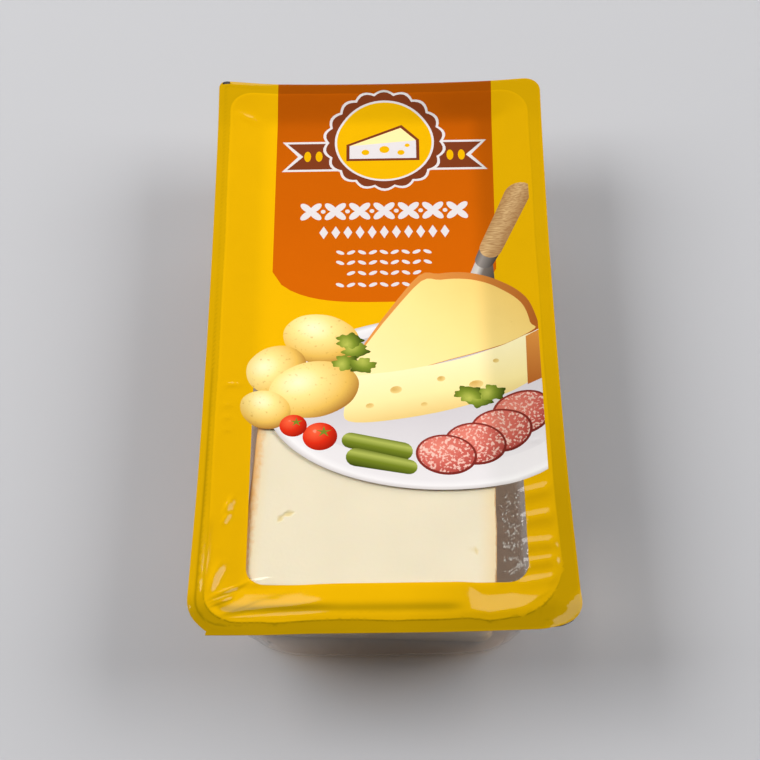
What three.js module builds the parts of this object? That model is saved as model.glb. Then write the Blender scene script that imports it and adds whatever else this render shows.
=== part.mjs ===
// A shut pack of sliced cheese: a clear thermoformed tray with a sealing flange, two stacks of
// slices lying end to end inside it, and a printed film lid sealed on the flange.
// Millimetres, +Z up. X is the pack's width and Y its length, with the window's end at -Y.
// The origin is on the surface that the tray stands on, under the middle of the pack.
import * as THREE from "three";

// The pack
const PACK_WIDTH = 104;
const PACK_LENGTH = 192;
const PACK_HEIGHT = 38; // to the top of the lid on the flange
const FLANGE_WIDTH = 4.6;
const FLANGE_CORNER_RADIUS = 5.5;
const MOUTH_CORNER_RADIUS = 8.5;

// The tray
const TRAY_WALL = 0.6;
const BASE_INSET = 8.2; // of the wall's foot from the flange's outer edge
const BASE_CORNER_RADIUS = 13;
const FOOT_RADIUS = 3.8; // between the wall and the floor
const NECK_RADIUS = 1.1; // between the flange and the wall
const STEP_HEIGHT = 30.5; // of the stacking step in the wall
const STEP_DEPTH = 0.9;

// The lid
const LID_THICKNESS = 0.3;
const SEAL_GAP = 0.25;
const LID_SAG = 2.6; // of the film over the cheese, below the flange
const BEAD_HEIGHT = 0.14; // along the seal's inner edge

// How the sealed pack has pulled out of true
const SIDE_BOW = 1.1; // each long side, inwards at its middle
const FAR_END_BOW = 1.4;
const CORNER_LIFT_REACH = 20;
const CORNER_LIFTS = [
  { x: -1, y: 1, lift: 1.1 },
  { x: 1, y: 1, lift: 0.5 },
  { x: -1, y: -1, lift: 0.3 },
  { x: 1, y: -1, lift: 1.2 },
];

// The cheese
const SLICES_IN_STACK = 8;
const SLICE_WIDTH = 67; // from rind to rind
const SLICE_LENGTH = 81;
const SLICE_THICKNESS = 4.15;
const SLICE_GAP = 0.1;
const SLICE_CORNER_RADIUS = 3.2;
const SLICE_EDGE_ROUNDING = 0.45;
const RIND_BULGE = 0.9;
const STACK_X = -2.6; // the slices lie nearer the left wall
const STACK_Y = { front: -41.9, back: 41.9 };
const STACK_TURN = { front: -2.2, back: 0.8 }; // degrees
const SLICE_SHIFT = 0.5; // the most that a slice lies out of its stack, along X
const SLICE_TURN = 0.35; // and how far it may be turned, in degrees
const SLICE_SEED = 7;

// How finely the round forms are faceted
const TRAY_STEPS = { corner: 7, end: 8, side: 14 };
const SLICE_STEPS = { corner: 3, end: 2, side: 4 };

const halfWidth = PACK_WIDTH / 2;
const halfLength = PACK_LENGTH / 2;
const flangeTop = PACK_HEIGHT - LID_THICKNESS - SEAL_GAP;
const flangeUnder = flangeTop - TRAY_WALL;

const materials = {
  tray: new THREE.MeshStandardMaterial({
    color: 0xe3e6e4,
    roughness: 0.12,
    metalness: 0,
    transparent: true,
    opacity: 0.35,
  }),
  lid: new THREE.MeshStandardMaterial({
    color: 0xefb800,
    roughness: 0.25,
    metalness: 0,
  }),
  cheese: new THREE.MeshStandardMaterial({
    color: 0xf1e6c8,
    roughness: 0.55,
    metalness: 0,
  }),
};

// Repeatable draws between 0 and 1 (a linear congruential generator).
function seededDraws(seed) {
  const modulus = 2 ** 32;
  let state = seed;
  return () => {
    state = (1664525 * state + 1013904223) % modulus;
    return state / modulus;
  };
}

function smoothStep(t) {
  const u = THREE.MathUtils.clamp(t, 0, 1);
  return u * u * (3 - 2 * u);
}

// The points of a rounded rectangle, counter-clockwise. Two of them with the same steps have the
// same number of points, so that one can be joined to the other point by point.
function roundedRectangle(halfX, halfY, radius, steps) {
  const points = [];
  const corners = [
    [1, 1],
    [-1, 1],
    [-1, -1],
    [1, -1],
  ];
  const arcs = corners.map(([signX, signY], quarter) => {
    const centreX = signX * (halfX - radius);
    const centreY = signY * (halfY - radius);
    return Array.from({ length: steps.corner + 1 }, (_, i) => {
      const angle = ((quarter + i / steps.corner) * Math.PI) / 2;
      return new THREE.Vector2(
        centreX + radius * Math.cos(angle),
        centreY + radius * Math.sin(angle),
      );
    });
  });
  arcs.forEach((arc, quarter) => {
    points.push(...arc);
    const from = arc[arc.length - 1];
    const to = arcs[(quarter + 1) % arcs.length][0];
    const count = quarter % 2 === 0 ? steps.end : steps.side;
    for (let i = 1; i < count; i++) points.push(from.clone().lerp(to, i / count));
  });
  return points;
}

// A closed solid through a run of rings: its first and last rings are capped flat.
// Going from the first ring to the last, the surface lies to the outside of the rings.
function loft(rings) {
  const count = rings[0].length;
  const positions = rings.flat().flatMap((p) => [p.x, p.y, p.z]);
  const index = [];
  for (let r = 0; r + 1 < rings.length; r++) {
    for (let i = 0; i < count; i++) {
      const next = (i + 1) % count;
      const a = r * count + i;
      const b = r * count + next;
      const c = (r + 1) * count + next;
      const d = (r + 1) * count + i;
      index.push(a, b, c, a, c, d);
    }
  }
  const cap = (ring, first, faceUp) => {
    const flat = ring.map((p) => new THREE.Vector2(p.x, p.y));
    for (const [a, b, c] of THREE.ShapeUtils.triangulateShape(flat, [])) {
      index.push(first + a, first + (faceUp ? b : c), first + (faceUp ? c : b));
    }
  };
  cap(rings[0], 0, false);
  cap(rings[rings.length - 1], (rings.length - 1) * count, true);
  const geometry = new THREE.BufferGeometry();
  geometry.setAttribute("position", new THREE.Float32BufferAttribute(positions, 3));
  geometry.setIndex(index);
  geometry.computeVertexNormals();
  return geometry;
}

// How far the pack has lifted at (x, y), towards its four corners.
function cornerLift(x, y) {
  return CORNER_LIFTS.reduce((sum, corner) => {
    const reach = Math.hypot(x - corner.x * halfWidth, y - corner.y * halfLength);
    return sum + corner.lift * smoothStep(1 - reach / CORNER_LIFT_REACH);
  }, 0);
}

// Pulls a true point of the tray or the lid to where the sealed pack holds it.
function pulled(x, y, z) {
  const along = y / halfLength;
  const across = x / halfWidth;
  const height = z / PACK_HEIGHT;
  const waist = (SIDE_BOW / halfWidth) * (1 - along ** 2);
  const farEnd = FAR_END_BOW * Math.max(along, 0) ** 6 * (1 - across ** 2);
  return new THREE.Vector3(
    x * (1 - waist),
    y - farEnd,
    z + cornerLift(x, y) * height ** 6,
  );
}

// A ring round the pack, given by how far it lies in from the flange's outer edge.
function packRing({ inset, radius, z }) {
  return roundedRectangle(halfWidth - inset, halfLength - inset, radius, TRAY_STEPS).map((p) =>
    pulled(p.x, p.y, z),
  );
}

// The tray's outer wall, from the middle of the floor's edge up to the flange's underside.
// offset moves it inwards by the wall's thickness for the inside of the tray.
function wallRings(offset) {
  const rings = [];
  const floor = offset;
  const footRadius = FOOT_RADIUS - offset * 0.5;
  const footSteps = 4;
  const foot = BASE_INSET + offset;
  for (let i = 0; i <= footSteps; i++) {
    const angle = (i / footSteps) * (Math.PI / 2);
    rings.push({
      inset: foot + footRadius * (1 - Math.sin(angle)),
      radius: BASE_CORNER_RADIUS - footRadius * (1 - Math.sin(angle)),
      z: floor + footRadius * (1 - Math.cos(angle)),
    });
  }
  // The wall leans out, with one small step that stacked trays rest on.
  const neck = FLANGE_WIDTH + offset;
  const lean = (z) => foot + (neck + STEP_DEPTH - foot) * (z / STEP_HEIGHT);
  const cornerAt = (z) =>
    THREE.MathUtils.lerp(BASE_CORNER_RADIUS, MOUTH_CORNER_RADIUS, z / PACK_HEIGHT);
  for (const z of [12, 21, STEP_HEIGHT - 0.5]) {
    rings.push({ inset: lean(z), radius: cornerAt(z), z });
  }
  rings.push({ inset: neck + 0.1, radius: cornerAt(STEP_HEIGHT), z: STEP_HEIGHT + 0.4 });
  const neckSteps = 3;
  const under = flangeUnder + offset;
  for (let i = 0; i <= neckSteps; i++) {
    const angle = (i / neckSteps) * (Math.PI / 2);
    rings.push({
      inset: neck - NECK_RADIUS * (1 - Math.cos(angle)),
      radius: MOUTH_CORNER_RADIUS,
      z: under - NECK_RADIUS * (1 - Math.sin(angle)),
    });
  }
  return rings;
}

function makeTray() {
  const flangeEdge = { inset: 0, radius: FLANGE_CORNER_RADIUS };
  const rings = [
    ...wallRings(0),
    { ...flangeEdge, z: flangeUnder },
    { ...flangeEdge, z: flangeTop },
    ...wallRings(TRAY_WALL).reverse(),
  ];
  return loft(rings.map(packRing));
}

// The lid's upper face, from its cut edge to where the film lies flat on the cheese.
function lidRings() {
  const sagFrom = FLANGE_WIDTH + 0.7;
  const sagTo = 17;
  const sagSteps = 5;
  const top = PACK_HEIGHT;
  const rings = [
    { inset: 0, radius: FLANGE_CORNER_RADIUS, z: top },
    { inset: FLANGE_WIDTH - 0.8, radius: MOUTH_CORNER_RADIUS - 1, z: top },
    { inset: FLANGE_WIDTH, radius: MOUTH_CORNER_RADIUS - 0.5, z: top + BEAD_HEIGHT },
  ];
  for (let i = 0; i <= sagSteps; i++) {
    const share = i / sagSteps;
    rings.push({
      inset: THREE.MathUtils.lerp(sagFrom, sagTo, share),
      radius: MOUTH_CORNER_RADIUS,
      z: top - LID_SAG * Math.sin((share * Math.PI) / 2),
    });
  }
  return rings;
}

function makeLid() {
  const upper = lidRings().map(packRing);
  const under = upper.map((ring) =>
    ring.map((p) => new THREE.Vector3(p.x, p.y, p.z - LID_THICKNESS)),
  );
  return loft([...under.reverse(), ...upper]);
}

// One slice round its own middle, its two long sides bulging where the rind is.
function makeSlice(draw) {
  const halfX = SLICE_WIDTH / 2 - RIND_BULGE;
  const halfY = SLICE_LENGTH / 2;
  const unevenX = [draw(), draw()].map((d) => 0.7 + 0.6 * d);
  const outline = (inset) =>
    roundedRectangle(halfX - inset, halfY - inset, SLICE_CORNER_RADIUS - inset, SLICE_STEPS).map(
      (p) => {
        const bulge = RIND_BULGE * (1 - (p.y / halfY) ** 2) * unevenX[p.x > 0 ? 1 : 0];
        return new THREE.Vector2(p.x * (1 + bulge / halfX), p.y);
      },
    );
  const rounding = SLICE_EDGE_ROUNDING;
  const levels = [
    [rounding, 0],
    [0, rounding],
    [0, SLICE_THICKNESS - rounding],
    [rounding, SLICE_THICKNESS],
  ];
  return loft(
    levels.map(([inset, z]) => outline(inset).map((p) => new THREE.Vector3(p.x, p.y, z))),
  );
}

function makeStack(name, draw) {
  const stack = new THREE.Group();
  for (let i = 0; i < SLICES_IN_STACK; i++) {
    const slice = new THREE.Mesh(makeSlice(draw), materials.cheese);
    slice.name = `slice_${name}_${i + 1}`;
    slice.position.set(
      STACK_X + (2 * draw() - 1) * SLICE_SHIFT,
      STACK_Y[name],
      TRAY_WALL + SLICE_GAP + i * (SLICE_THICKNESS + SLICE_GAP),
    );
    const turn = STACK_TURN[name] + (2 * draw() - 1) * SLICE_TURN;
    slice.rotation.z = THREE.MathUtils.degToRad(turn);
    stack.add(slice);
  }
  return stack;
}

function named(name, geometry, material) {
  const mesh = new THREE.Mesh(geometry, material);
  mesh.name = name;
  return mesh;
}

const pack = new THREE.Group();
const draw = seededDraws(SLICE_SEED);
pack.add(named("tray", makeTray(), materials.tray));
pack.add(makeStack("front", draw));
pack.add(makeStack("back", draw));
pack.add(named("lid_film", makeLid(), materials.lid));

export default pack;
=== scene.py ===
"""A shut pack of sliced cheese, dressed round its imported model.

The clear tray, the slices and the sealed film lid are made here in metres, in the model's own
frame: X is the pack's width, Y its length with the window's end at -Y, and Z is up. The lid's
artwork is laid out in millimetres, seen from above.
"""

import math

import bpy
import numpy as np
from mathutils import Matrix, Vector
from mathutils.geometry import delaunay_2d_cdt


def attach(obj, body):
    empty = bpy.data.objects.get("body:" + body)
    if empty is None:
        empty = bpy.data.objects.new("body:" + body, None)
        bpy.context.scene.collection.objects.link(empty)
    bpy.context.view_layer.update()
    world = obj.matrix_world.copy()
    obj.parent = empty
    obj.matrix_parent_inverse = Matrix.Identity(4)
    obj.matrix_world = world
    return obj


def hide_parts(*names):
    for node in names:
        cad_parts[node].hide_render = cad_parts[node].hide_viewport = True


bl_info = {
    "name": "Pack of sliced cheese",
    "version": (1, 0, 0),
    "blender": (4, 5, 0),
    "location": "3D View > Sidebar > Cheese pack",
    "description": "Makes a sealed tray of sliced cheese under a printed film lid with a window",
    "category": "Add Mesh",
}

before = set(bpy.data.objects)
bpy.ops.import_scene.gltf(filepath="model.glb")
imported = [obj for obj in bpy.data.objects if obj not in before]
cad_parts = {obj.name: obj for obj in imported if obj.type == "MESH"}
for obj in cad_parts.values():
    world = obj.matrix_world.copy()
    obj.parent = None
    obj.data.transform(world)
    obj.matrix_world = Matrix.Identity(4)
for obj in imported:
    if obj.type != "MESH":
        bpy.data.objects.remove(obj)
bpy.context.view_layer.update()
MM = 0.001
CLOSE = 1e-6  # two places nearer than this are one
LEVEL = 1e-7  # the same for heights

# The corners of the pack in the order far left, far right, near right, near left
CORNER_SIGNS = ((-1, 1), (1, 1), (1, -1), (-1, -1))
FLANGE_RADII = (2.7, 5.4, 7.6, 10.0)  # of the flange's corners, in millimetres
MOUTH_RADII = (7.5, 9.5, 17.0, 8.5)  # of the seal's inner edge
CORNER_LIFTS = (1.1, 0.5, 0.0, 0.3)
CORNER_LIFT_REACH = 20.0
MOUTH = {"left": -48.2, "right": 47.9, "near": -92.9, "far": 91.7}
STACK_COUNT = 8  # slices in a stack
SLICE_NODES = [
    f"slice_{end}_{i}" for end in ("front", "back") for i in range(1, STACK_COUNT + 1)
]

# The window in the print, in millimetres: its sides and the radius of its two near corners
WINDOW = {"left": -36.9, "right": 38.8, "near": -82.5, "far": -18.0, "radius": 5.2}

# Folds of the film, in millimetres: from x, y to x, y, half width, height
FOLDS = [
    # pleats that fan out of the near left corner
    (-47.6, -86.2, -36.0, -80.2, 0.60, 0.28),
    (-47.0, -88.0, -37.6, -83.0, 0.85, 0.34),
    (-44.6, -90.2, -14.0, -86.8, 1.30, 0.24),
    (-43.6, -92.2, -12.0, -90.6, 0.70, 0.22),
    (-47.4, -85.4, -43.4, -74.0, 1.10, 0.50),
    # bands along the near edge
    (-31.0, -91.5, 40.0, -91.5, 0.90, 0.10),
    # small ones between the window and the right seal
    (41.0, -24.2, 45.0, -24.0, 0.65, 0.22),
    (40.8, -38.9, 45.2, -38.6, 0.65, 0.22),
    # ripples along the left seal
    (-47.0, -19.6, -40.0, -18.4, 0.70, 0.26),
    (-46.8, -26.0, -42.6, -26.0, 0.70, 0.22),
    (-46.6, -30.2, -42.8, -30.0, 0.70, 0.22),
    (-46.8, -34.4, -42.6, -34.0, 0.70, 0.22),
    (-43.4, -57.4, -41.6, -58.1, 2.60, 0.56),
    (-43.5, -61.4, -42.4, -62.0, 1.90, 0.42),
    # the far left corner and the film over the cheese
    (-46.8, 83.4, -37.0, 79.8, 0.90, 0.38),
    (-38.4, -81.0, -25.4, -79.4, 1.30, 0.56),
    (-30.0, -78.2, -15.0, -79.4, 1.20, 0.52),
]

# Waves of the film between the window and the right seal: y at x 43, lean along x, height
WAVES = [
    (-54.9, 0.12, 0.71),
    (-62.9, 0.05, 0.79),
    (-71.0, -0.04, 0.85),
    (-76.3, 0.03, 0.95),
    (-81.7, 0.06, 0.74),
]
WAVE = {
    "left": 32.5, "left_ease": 7.5, "right": 49.4, "right_ease": 2.6,  # its two ends
    "counted_at": 43, "near": 2.1, "far": 2.2,  # where its y counts, and its half widths
}

# Shade in the valleys beside the folds, painted: from x, y to x, y, half width, depth
VALLEYS = [
    (-47.8, -87.4, -35.4, -80.0, 0.42, 0.30),
    (-47.2, -88.2, -40.0, -83.6, 0.28, 0.26),
    (-46.8, -89.0, -39.4, -85.2, 0.34, 0.34),
    (-44.2, -91.8, -32.5, -85.9, 0.42, 0.26),
    (-36.4, -87.2, -24.6, -83.4, 0.50, 0.15),
    (-42.8, -91.4, -33.0, -88.4, 0.55, 0.26),
    (-38.0, -89.0, -12.0, -88.0, 0.90, 0.26),
    (-42.0, -92.2, -33.0, -91.3, 0.30, 0.14),
    (41.6, -95.2, 45.8, -89.6, 0.22, 0.14),
    (38.0, -88.9, 45.0, -84.6, 0.40, 0.12),
]

# Folds on the flange at its two near corners, laid out as the film's folds are
FLANGE_FOLDS = [
    (43.4, -89.8, 48.2, -83.4, 0.45, 0.10),
    (-51.6, -78.0, -47.4, -82.0, 0.50, 0.08),
]
# Where the near right corner curls up: beyond a line from x, y to x, y; slope and most rise
CURL = {"x": 41.9, "y": -95.6, "to_x": 50.2, "to_y": -86.4, "rise": 0.42, "most": 2.0}
# The seal's inner edge along the near side: place across and how far it strays
NEAR_SEAL = [
    (-46, 0.0), (-36, -0.1), (-32, -0.2), (-28.7, -0.45), (-25, -0.1), (-12, 0.45), (4, -0.1),
    (22.6, 0.3), (25, 0.0), (27.7, -0.4), (32.5, 0.2), (37, 0.0), (46, 0.0),
]
# The seal's ribs on the flange: place from the edge, half width, height
FLANGE_RIBS = [(1.55, 0.55, 0.20)]
INNER_RIB = (4.00, 0.85, 0.34)  # the same, beside the seal's edge at the near left only
# How far the film's near edge lies out of true: place across, distance along
NEAR_EDGE = [
    (-52, -0.5), (-44, -0.6), (-30, -0.6), (-20, -0.4), (15, -0.4), (25, -0.25), (32, -0.1),
    (40, 0.1), (45, 0.4), (52, 0.4),
]
# Small folds square to the seal
RIPPLE_SEED = 11
RIPPLE_COUNT = 46
# How the artwork spreads on the sunk film, about a place in plan
SINK_X, SINK_Y, SINK_SPREAD = 4.2, -258.5, 1.0067


def mm(metres):
    """A length of the properties in millimetres."""
    return metres / MM


# Sizes and colours that a user would change


def length_setting(name, description, default):
    return bpy.props.FloatProperty(
        name=name, description=description, default=default, unit="LENGTH"
    )


def angle_setting(name, description, degrees):
    return bpy.props.FloatProperty(
        name=name, description=description, default=math.radians(degrees), subtype="ANGLE"
    )


def colour_setting(name, description, default):
    return bpy.props.FloatVectorProperty(
        name=name, description=description, default=default, subtype="COLOR", min=0, max=1
    )


class PackSizes(bpy.types.PropertyGroup):
    width: length_setting("Width", "Flange edge to flange edge", 0.104)
    length: length_setting("Length", "Of the flange", 0.192)
    height: length_setting("Height", "Floor to the film on the flange", 0.038)
    flange_width: length_setting("Flange width", "Edge to wall", 0.0046)
    wall: length_setting("Wall", "Of the clear tray", 0.0006)
    base_inset: length_setting("Base inset", "Of the wall's foot from the flange's edge", 0.0082)
    base_radius: length_setting("Base corner radius", "In plan", 0.013)
    near_base_radius: length_setting("Near base corner radius", "In plan", 0.019)
    foot_swell: length_setting("Foot swell", "Of the near wall's foot", 0.0012)
    foot_radius: length_setting("Foot radius", "Between wall and floor", 0.0038)
    step_height: length_setting("Step height", "Of the step in the wall", 0.0305)
    side_bow: length_setting("Side bow", "Of each long side, inwards", 0.0011)
    far_bow: length_setting("Far end bow", "Of the far end, inwards", 0.0014)
    near_flare: length_setting("Near flare", "Of each long side's near end", 0.0004)
    film_sag: length_setting("Film sag", "Flange to the film on the cheese", 0.0026)
    film_thickness: length_setting("Film thickness", "Of the lid", 0.00014)
    rim_inset: length_setting("Rim inset", "Of the tray's rim under the film's cut edge", 0.0006)


class SliceSizes(bpy.types.PropertyGroup):
    width: length_setting("Width", "Rind to rind", 0.0681)
    length: length_setting("Length", "Along the rind", 0.081)
    thickness: length_setting("Thickness", "Of a slice", 0.00415)
    gap: length_setting("Gap", "Between two slices", 0.0001)
    corner: length_setting("Corner radius", "In plan", 0.0032)
    edge: length_setting("Edge radius", "Of the cut edges", 0.00045)
    bulge: length_setting("Rind bulge", "At a side's middle", 0.0009)
    left_offset: length_setting("Stack across", "Of a stack's middle", -0.0023)
    stack_reach: length_setting("Stack along", "Of a stack's middle", 0.0419)
    front_turn: angle_setting("Near stack's turn", "Of the stack behind the window", -2.7)
    back_turn: angle_setting("Far stack's turn", "Of the stack under the print", 0.8)
    shift: length_setting("Shift", "Most that a slice is out of line", 0.0005)
    loose_turn: angle_setting("Loose turn", "Most that a slice is turned", 0.35)
    seed: bpy.props.IntProperty(name="Seed", description="Of the slices' places", default=7)


class PackColours(bpy.types.PropertyGroup):
    yellow: colour_setting("Yellow ink", "Over the cheese", (0.80, 0.425, 0.001))
    orange: colour_setting("Orange ink", "Of the panel", (0.54, 0.104, 0.001))
    brown: colour_setting("Brown ink", "Of the badge", (0.19, 0.040, 0.012))
    white: colour_setting("White ink", "Of the ornament", (0.71, 0.66, 0.655))
    cheese: colour_setting("Cheese", "Of a slice's face", (0.87, 0.77, 0.575))
    rind: colour_setting("Rind", "Of the two long sides", (0.56, 0.31, 0.13))


class StageSettings(bpy.types.PropertyGroup):
    floor: colour_setting("Floor", "Of the plain floor", (0.46, 0.46, 0.475))
    camera_turn: angle_setting("Azimuth", "Of the camera", 1.13)
    camera_height: angle_setting("Elevation", "Of the camera", 58.169)
    camera_roll: angle_setting("Roll", "Of the camera", -1.783)
    camera_distance: length_setting("Distance", "From what it looks at", 0.45485)
    camera_target: bpy.props.FloatVectorProperty(
        name="Target", description="What the camera looks at",
        default=(-0.000567, -0.01864, 0.038), subtype="XYZ", unit="LENGTH",
    )
    lens: bpy.props.FloatProperty(name="Lens", description="In millimetres", default=75.0)


# Modelling, as by hand


def deselect():
    bpy.ops.object.select_all(action="DESELECT")


def select_where(mesh, test, kind="VERT"):
    """In edit mode, selects the vertices, edges or faces that pass a test."""
    bpy.ops.mesh.select_mode(type=kind)
    bpy.ops.mesh.select_all(action="DESELECT")
    bpy.ops.object.mode_set(mode="OBJECT")
    items = {"VERT": mesh.vertices, "EDGE": mesh.edges, "FACE": mesh.polygons}[kind]
    for item in items:
        item.select = bool(test(item))
    bpy.ops.object.mode_set(mode="EDIT")


def apply_modifier(piece, kind, **settings):
    modifier = piece.modifiers.new(kind.title(), kind)
    for name, value in settings.items():
        setattr(modifier, name, value)
    bpy.context.view_layer.objects.active = piece
    bpy.ops.object.modifier_apply(modifier=modifier.name)


def cut_across(axis, places):
    """In edit mode, cuts the whole mesh square to an axis at each place."""
    normal = Vector((0, 0, 0))
    normal[axis] = 1
    for place in places:
        bpy.ops.mesh.select_all(action="SELECT")
        bpy.ops.mesh.bisect(plane_co=normal * place, plane_no=normal, threshold=CLOSE)


def smooth(piece, degrees):
    deselect()
    piece.select_set(True)
    bpy.context.view_layer.objects.active = piece
    bpy.ops.object.shade_smooth_by_angle(angle=math.radians(degrees))


def spaced(low, high, step):
    count = max(1, round((high - low) / step))
    return [low + (high - low) * i / count for i in range(1, count)]


def ease(t):
    t = np.clip(t, 0, 1)
    return t * t * (3 - 2 * t)


# The pack's form, in millimetres


def box_depth(x, y, left, right, near, far, radii):
    """How deep a point lies inside a box with its own radius at each corner; outside is < 0."""
    middle_x, middle_y = (left + right) / 2, (near + far) / 2
    dx, dy = x - middle_x, y - middle_y
    radius = np.where(
        dy > 0,
        np.where(dx < 0, radii[0], radii[1]),
        np.where(dx < 0, radii[3], radii[2]),
    )
    qx = np.abs(dx) - (right - left) / 2 + radius
    qy = np.abs(dy) - (far - near) / 2 + radius
    outside = np.hypot(np.maximum(qx, 0), np.maximum(qy, 0))
    return radius - outside - np.minimum(np.maximum(qx, qy), 0)


def box_outline(left, right, near, far, radii, corner_steps=9, side_step=2.0):
    """The points of such a box, counter-clockwise from its far left corner."""
    arcs = []
    starts = (math.pi, math.pi / 2, 0.0, -math.pi / 2)
    for (sx, sy), radius, start in zip(CORNER_SIGNS, radii, starts):
        cx = (left + radius) if sx < 0 else (right - radius)
        cy = (near + radius) if sy < 0 else (far - radius)
        turns = [start - math.pi / 2 * i / corner_steps for i in range(corner_steps + 1)]
        arcs.append([(cx + radius * math.cos(t), cy + radius * math.sin(t)) for t in turns])
    points = []
    for k, arc in enumerate(arcs):
        points.extend(arc)
        a, b = Vector(arc[-1]), Vector(arcs[(k + 1) % 4][0])
        count = max(1, round((b - a).length / side_step))
        points.extend(tuple(a.lerp(b, i / count)) for i in range(1, count))
    return points[::-1]


# The nib, in millimetres: the part of the edge that it takes the place of, and its points
NIB = {"right": -41.9, "far": -94.9, "points": [(-46.25, -95.05), (-46.5, -95.5)]}


def film_outline(half_x, half_y):
    """The film's cut edge, with the small nib left where its near left corner was cut."""
    edge = box_outline(-half_x, half_x, -half_y, half_y, FLANGE_RADII)
    kept = [p for p in edge if not (p[0] < NIB["right"] and p[1] < NIB["far"])]
    start = next(
        i for i, p in enumerate(kept) if p[1] < NIB["far"] and kept[i - 1][1] > NIB["far"]
    )
    return kept[:start] + [*NIB["points"], (NIB["points"][-1][0], -half_y)] + kept[start:]


def lift(x, y, half_x, half_y):
    """How far the sealed pack has lifted towards its corners."""
    total = np.zeros_like(np.asarray(x, dtype=float))
    for (sx, sy), height in zip(CORNER_SIGNS, CORNER_LIFTS):
        reach = np.hypot(x - sx * half_x, y - sy * half_y)
        total = total + height * ease(1 - reach / CORNER_LIFT_REACH)
    return total


def pull(x, y, sizes):
    """Moves true places in plan to where the sealed pack holds them."""
    half_x, half_y = mm(sizes.width) / 2, mm(sizes.length) / 2
    along, across = y / half_y, x / half_x
    bow = mm(sizes.side_bow) * np.where(across < 0, 0.82, 1.0)
    waist = bow / half_x * (1 - along**2) - mm(sizes.near_flare) / half_x * ease((-45 - y) / 45)
    far_end = mm(sizes.far_bow) * np.maximum(along, 0) ** 6 * (1 - across**2)
    near_end = np.interp(x, *np.array(NEAR_EDGE).T) * ease((-93.2 - y) / 2.6)
    return x * (1 - waist), y - far_end + near_end


def relax(x, y, sizes):
    """The other way: from places on the sealed pack to true ones."""
    u, v = np.array(x, dtype=float), np.array(y, dtype=float)
    for _ in range(4):
        px, py = pull(u, v, sizes)
        u, v = u + (x - px), v + (y - py)
    return u, v


def fold_height(x, y, fold):
    """A soft ridge along a line, tapering to nothing at both ends."""
    x0, y0, x1, y1, width, height = fold
    dx, dy = x1 - x0, y1 - y0
    length = math.hypot(dx, dy)
    along = ((x - x0) * dx + (y - y0) * dy) / length**2
    across = ((x - x0) * dy - (y - y0) * dx) / length
    taper = np.sin(np.pi * np.clip(along, 0, 1)) ** 0.8
    return height * taper * np.exp(-((across / width) ** 2))


def wave_height(x, y, wave):
    """A wave across the film's right side."""
    at, lean, height = wave
    off = y - at - lean * (x - WAVE["counted_at"])
    width = np.where(off > 0, WAVE["far"], WAVE["near"])
    spread = ease((x - WAVE["left"]) / WAVE["left_ease"])
    spread = spread * ease((WAVE["right"] - x) / WAVE["right_ease"])
    return height * spread * np.exp(-((off / width) ** 2))


def ripple_folds():
    """Small folds square to the seal, where the film runs down from it."""
    draw = np.random.default_rng(RIPPLE_SEED)
    folds = []
    for _ in range(RIPPLE_COUNT):
        side = draw.integers(0, 4)
        size = draw.uniform(2.2, 5.0)
        width, height = draw.uniform(0.5, 1.0), draw.uniform(0.02, 0.06)
        lean = draw.uniform(-0.5, 0.5)
        if side < 2:
            x = MOUTH["left"] + 0.8 if side == 0 else MOUTH["right"] - 0.8
            y = draw.uniform(MOUTH["near"] + 10, MOUTH["far"] - 8)
            inward = size if side == 0 else -size
            folds.append((x, y, x + inward, y + lean, width, height))
        else:
            y = MOUTH["near"] + 0.8 if side == 2 else MOUTH["far"] - 0.8
            x = draw.uniform(MOUTH["left"] + 8, MOUTH["right"] - 12)
            inward = size if side == 2 else -size
            folds.append((x, y, x + lean, y + inward, width, height))
    return folds


def seal_depth(u, v):
    """How far inside the seal's inner edge a true place lies; on the flange it is < 0."""
    depth = box_depth(
        u, v, MOUTH["left"], MOUTH["right"], MOUTH["near"], MOUTH["far"], MOUTH_RADII
    )
    stray = np.interp(u, *np.array(NEAR_SEAL).T) * ease((-84 - v) / 6)
    stray = stray + 0.5 * ease((-u - 38) / 5) * ease((-50 - v) / 20)
    return depth - stray + 0.06 * np.sin(u / 2.1 + 1.0) + 0.08 * np.sin(v / 7.1)


def rib_strength(u, v):
    """The seal's ribs stand out on the left, and most near the window's end."""
    return ease((-u - 30) / 15) * (0.25 + 0.75 * ease((30 - v) / 90))


EDGE_DROP, EDGE_DROP_REACH = 0.05, 0.6  # of the film's cut edge

# The film runs down from the seal evenly, with its two ends eased
SAG_REACH = 13.0
MIDDLE_LONGER = 7.0  # its reach at the middle of the near side
# Right of there it is shorter, starts later and is less deep
STEEP_SHORTER, STEEP_LATER, STEEP_SHALLOWER = 5.2, 1.9, 0.17
SAG_RUN = np.linspace(0, 1, 201)
SAG_SHARE = np.cumsum(ease(SAG_RUN / 0.08) * ease((1 - SAG_RUN) / 0.35))
SAG_SHARE = SAG_SHARE / SAG_SHARE[-1]


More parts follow.
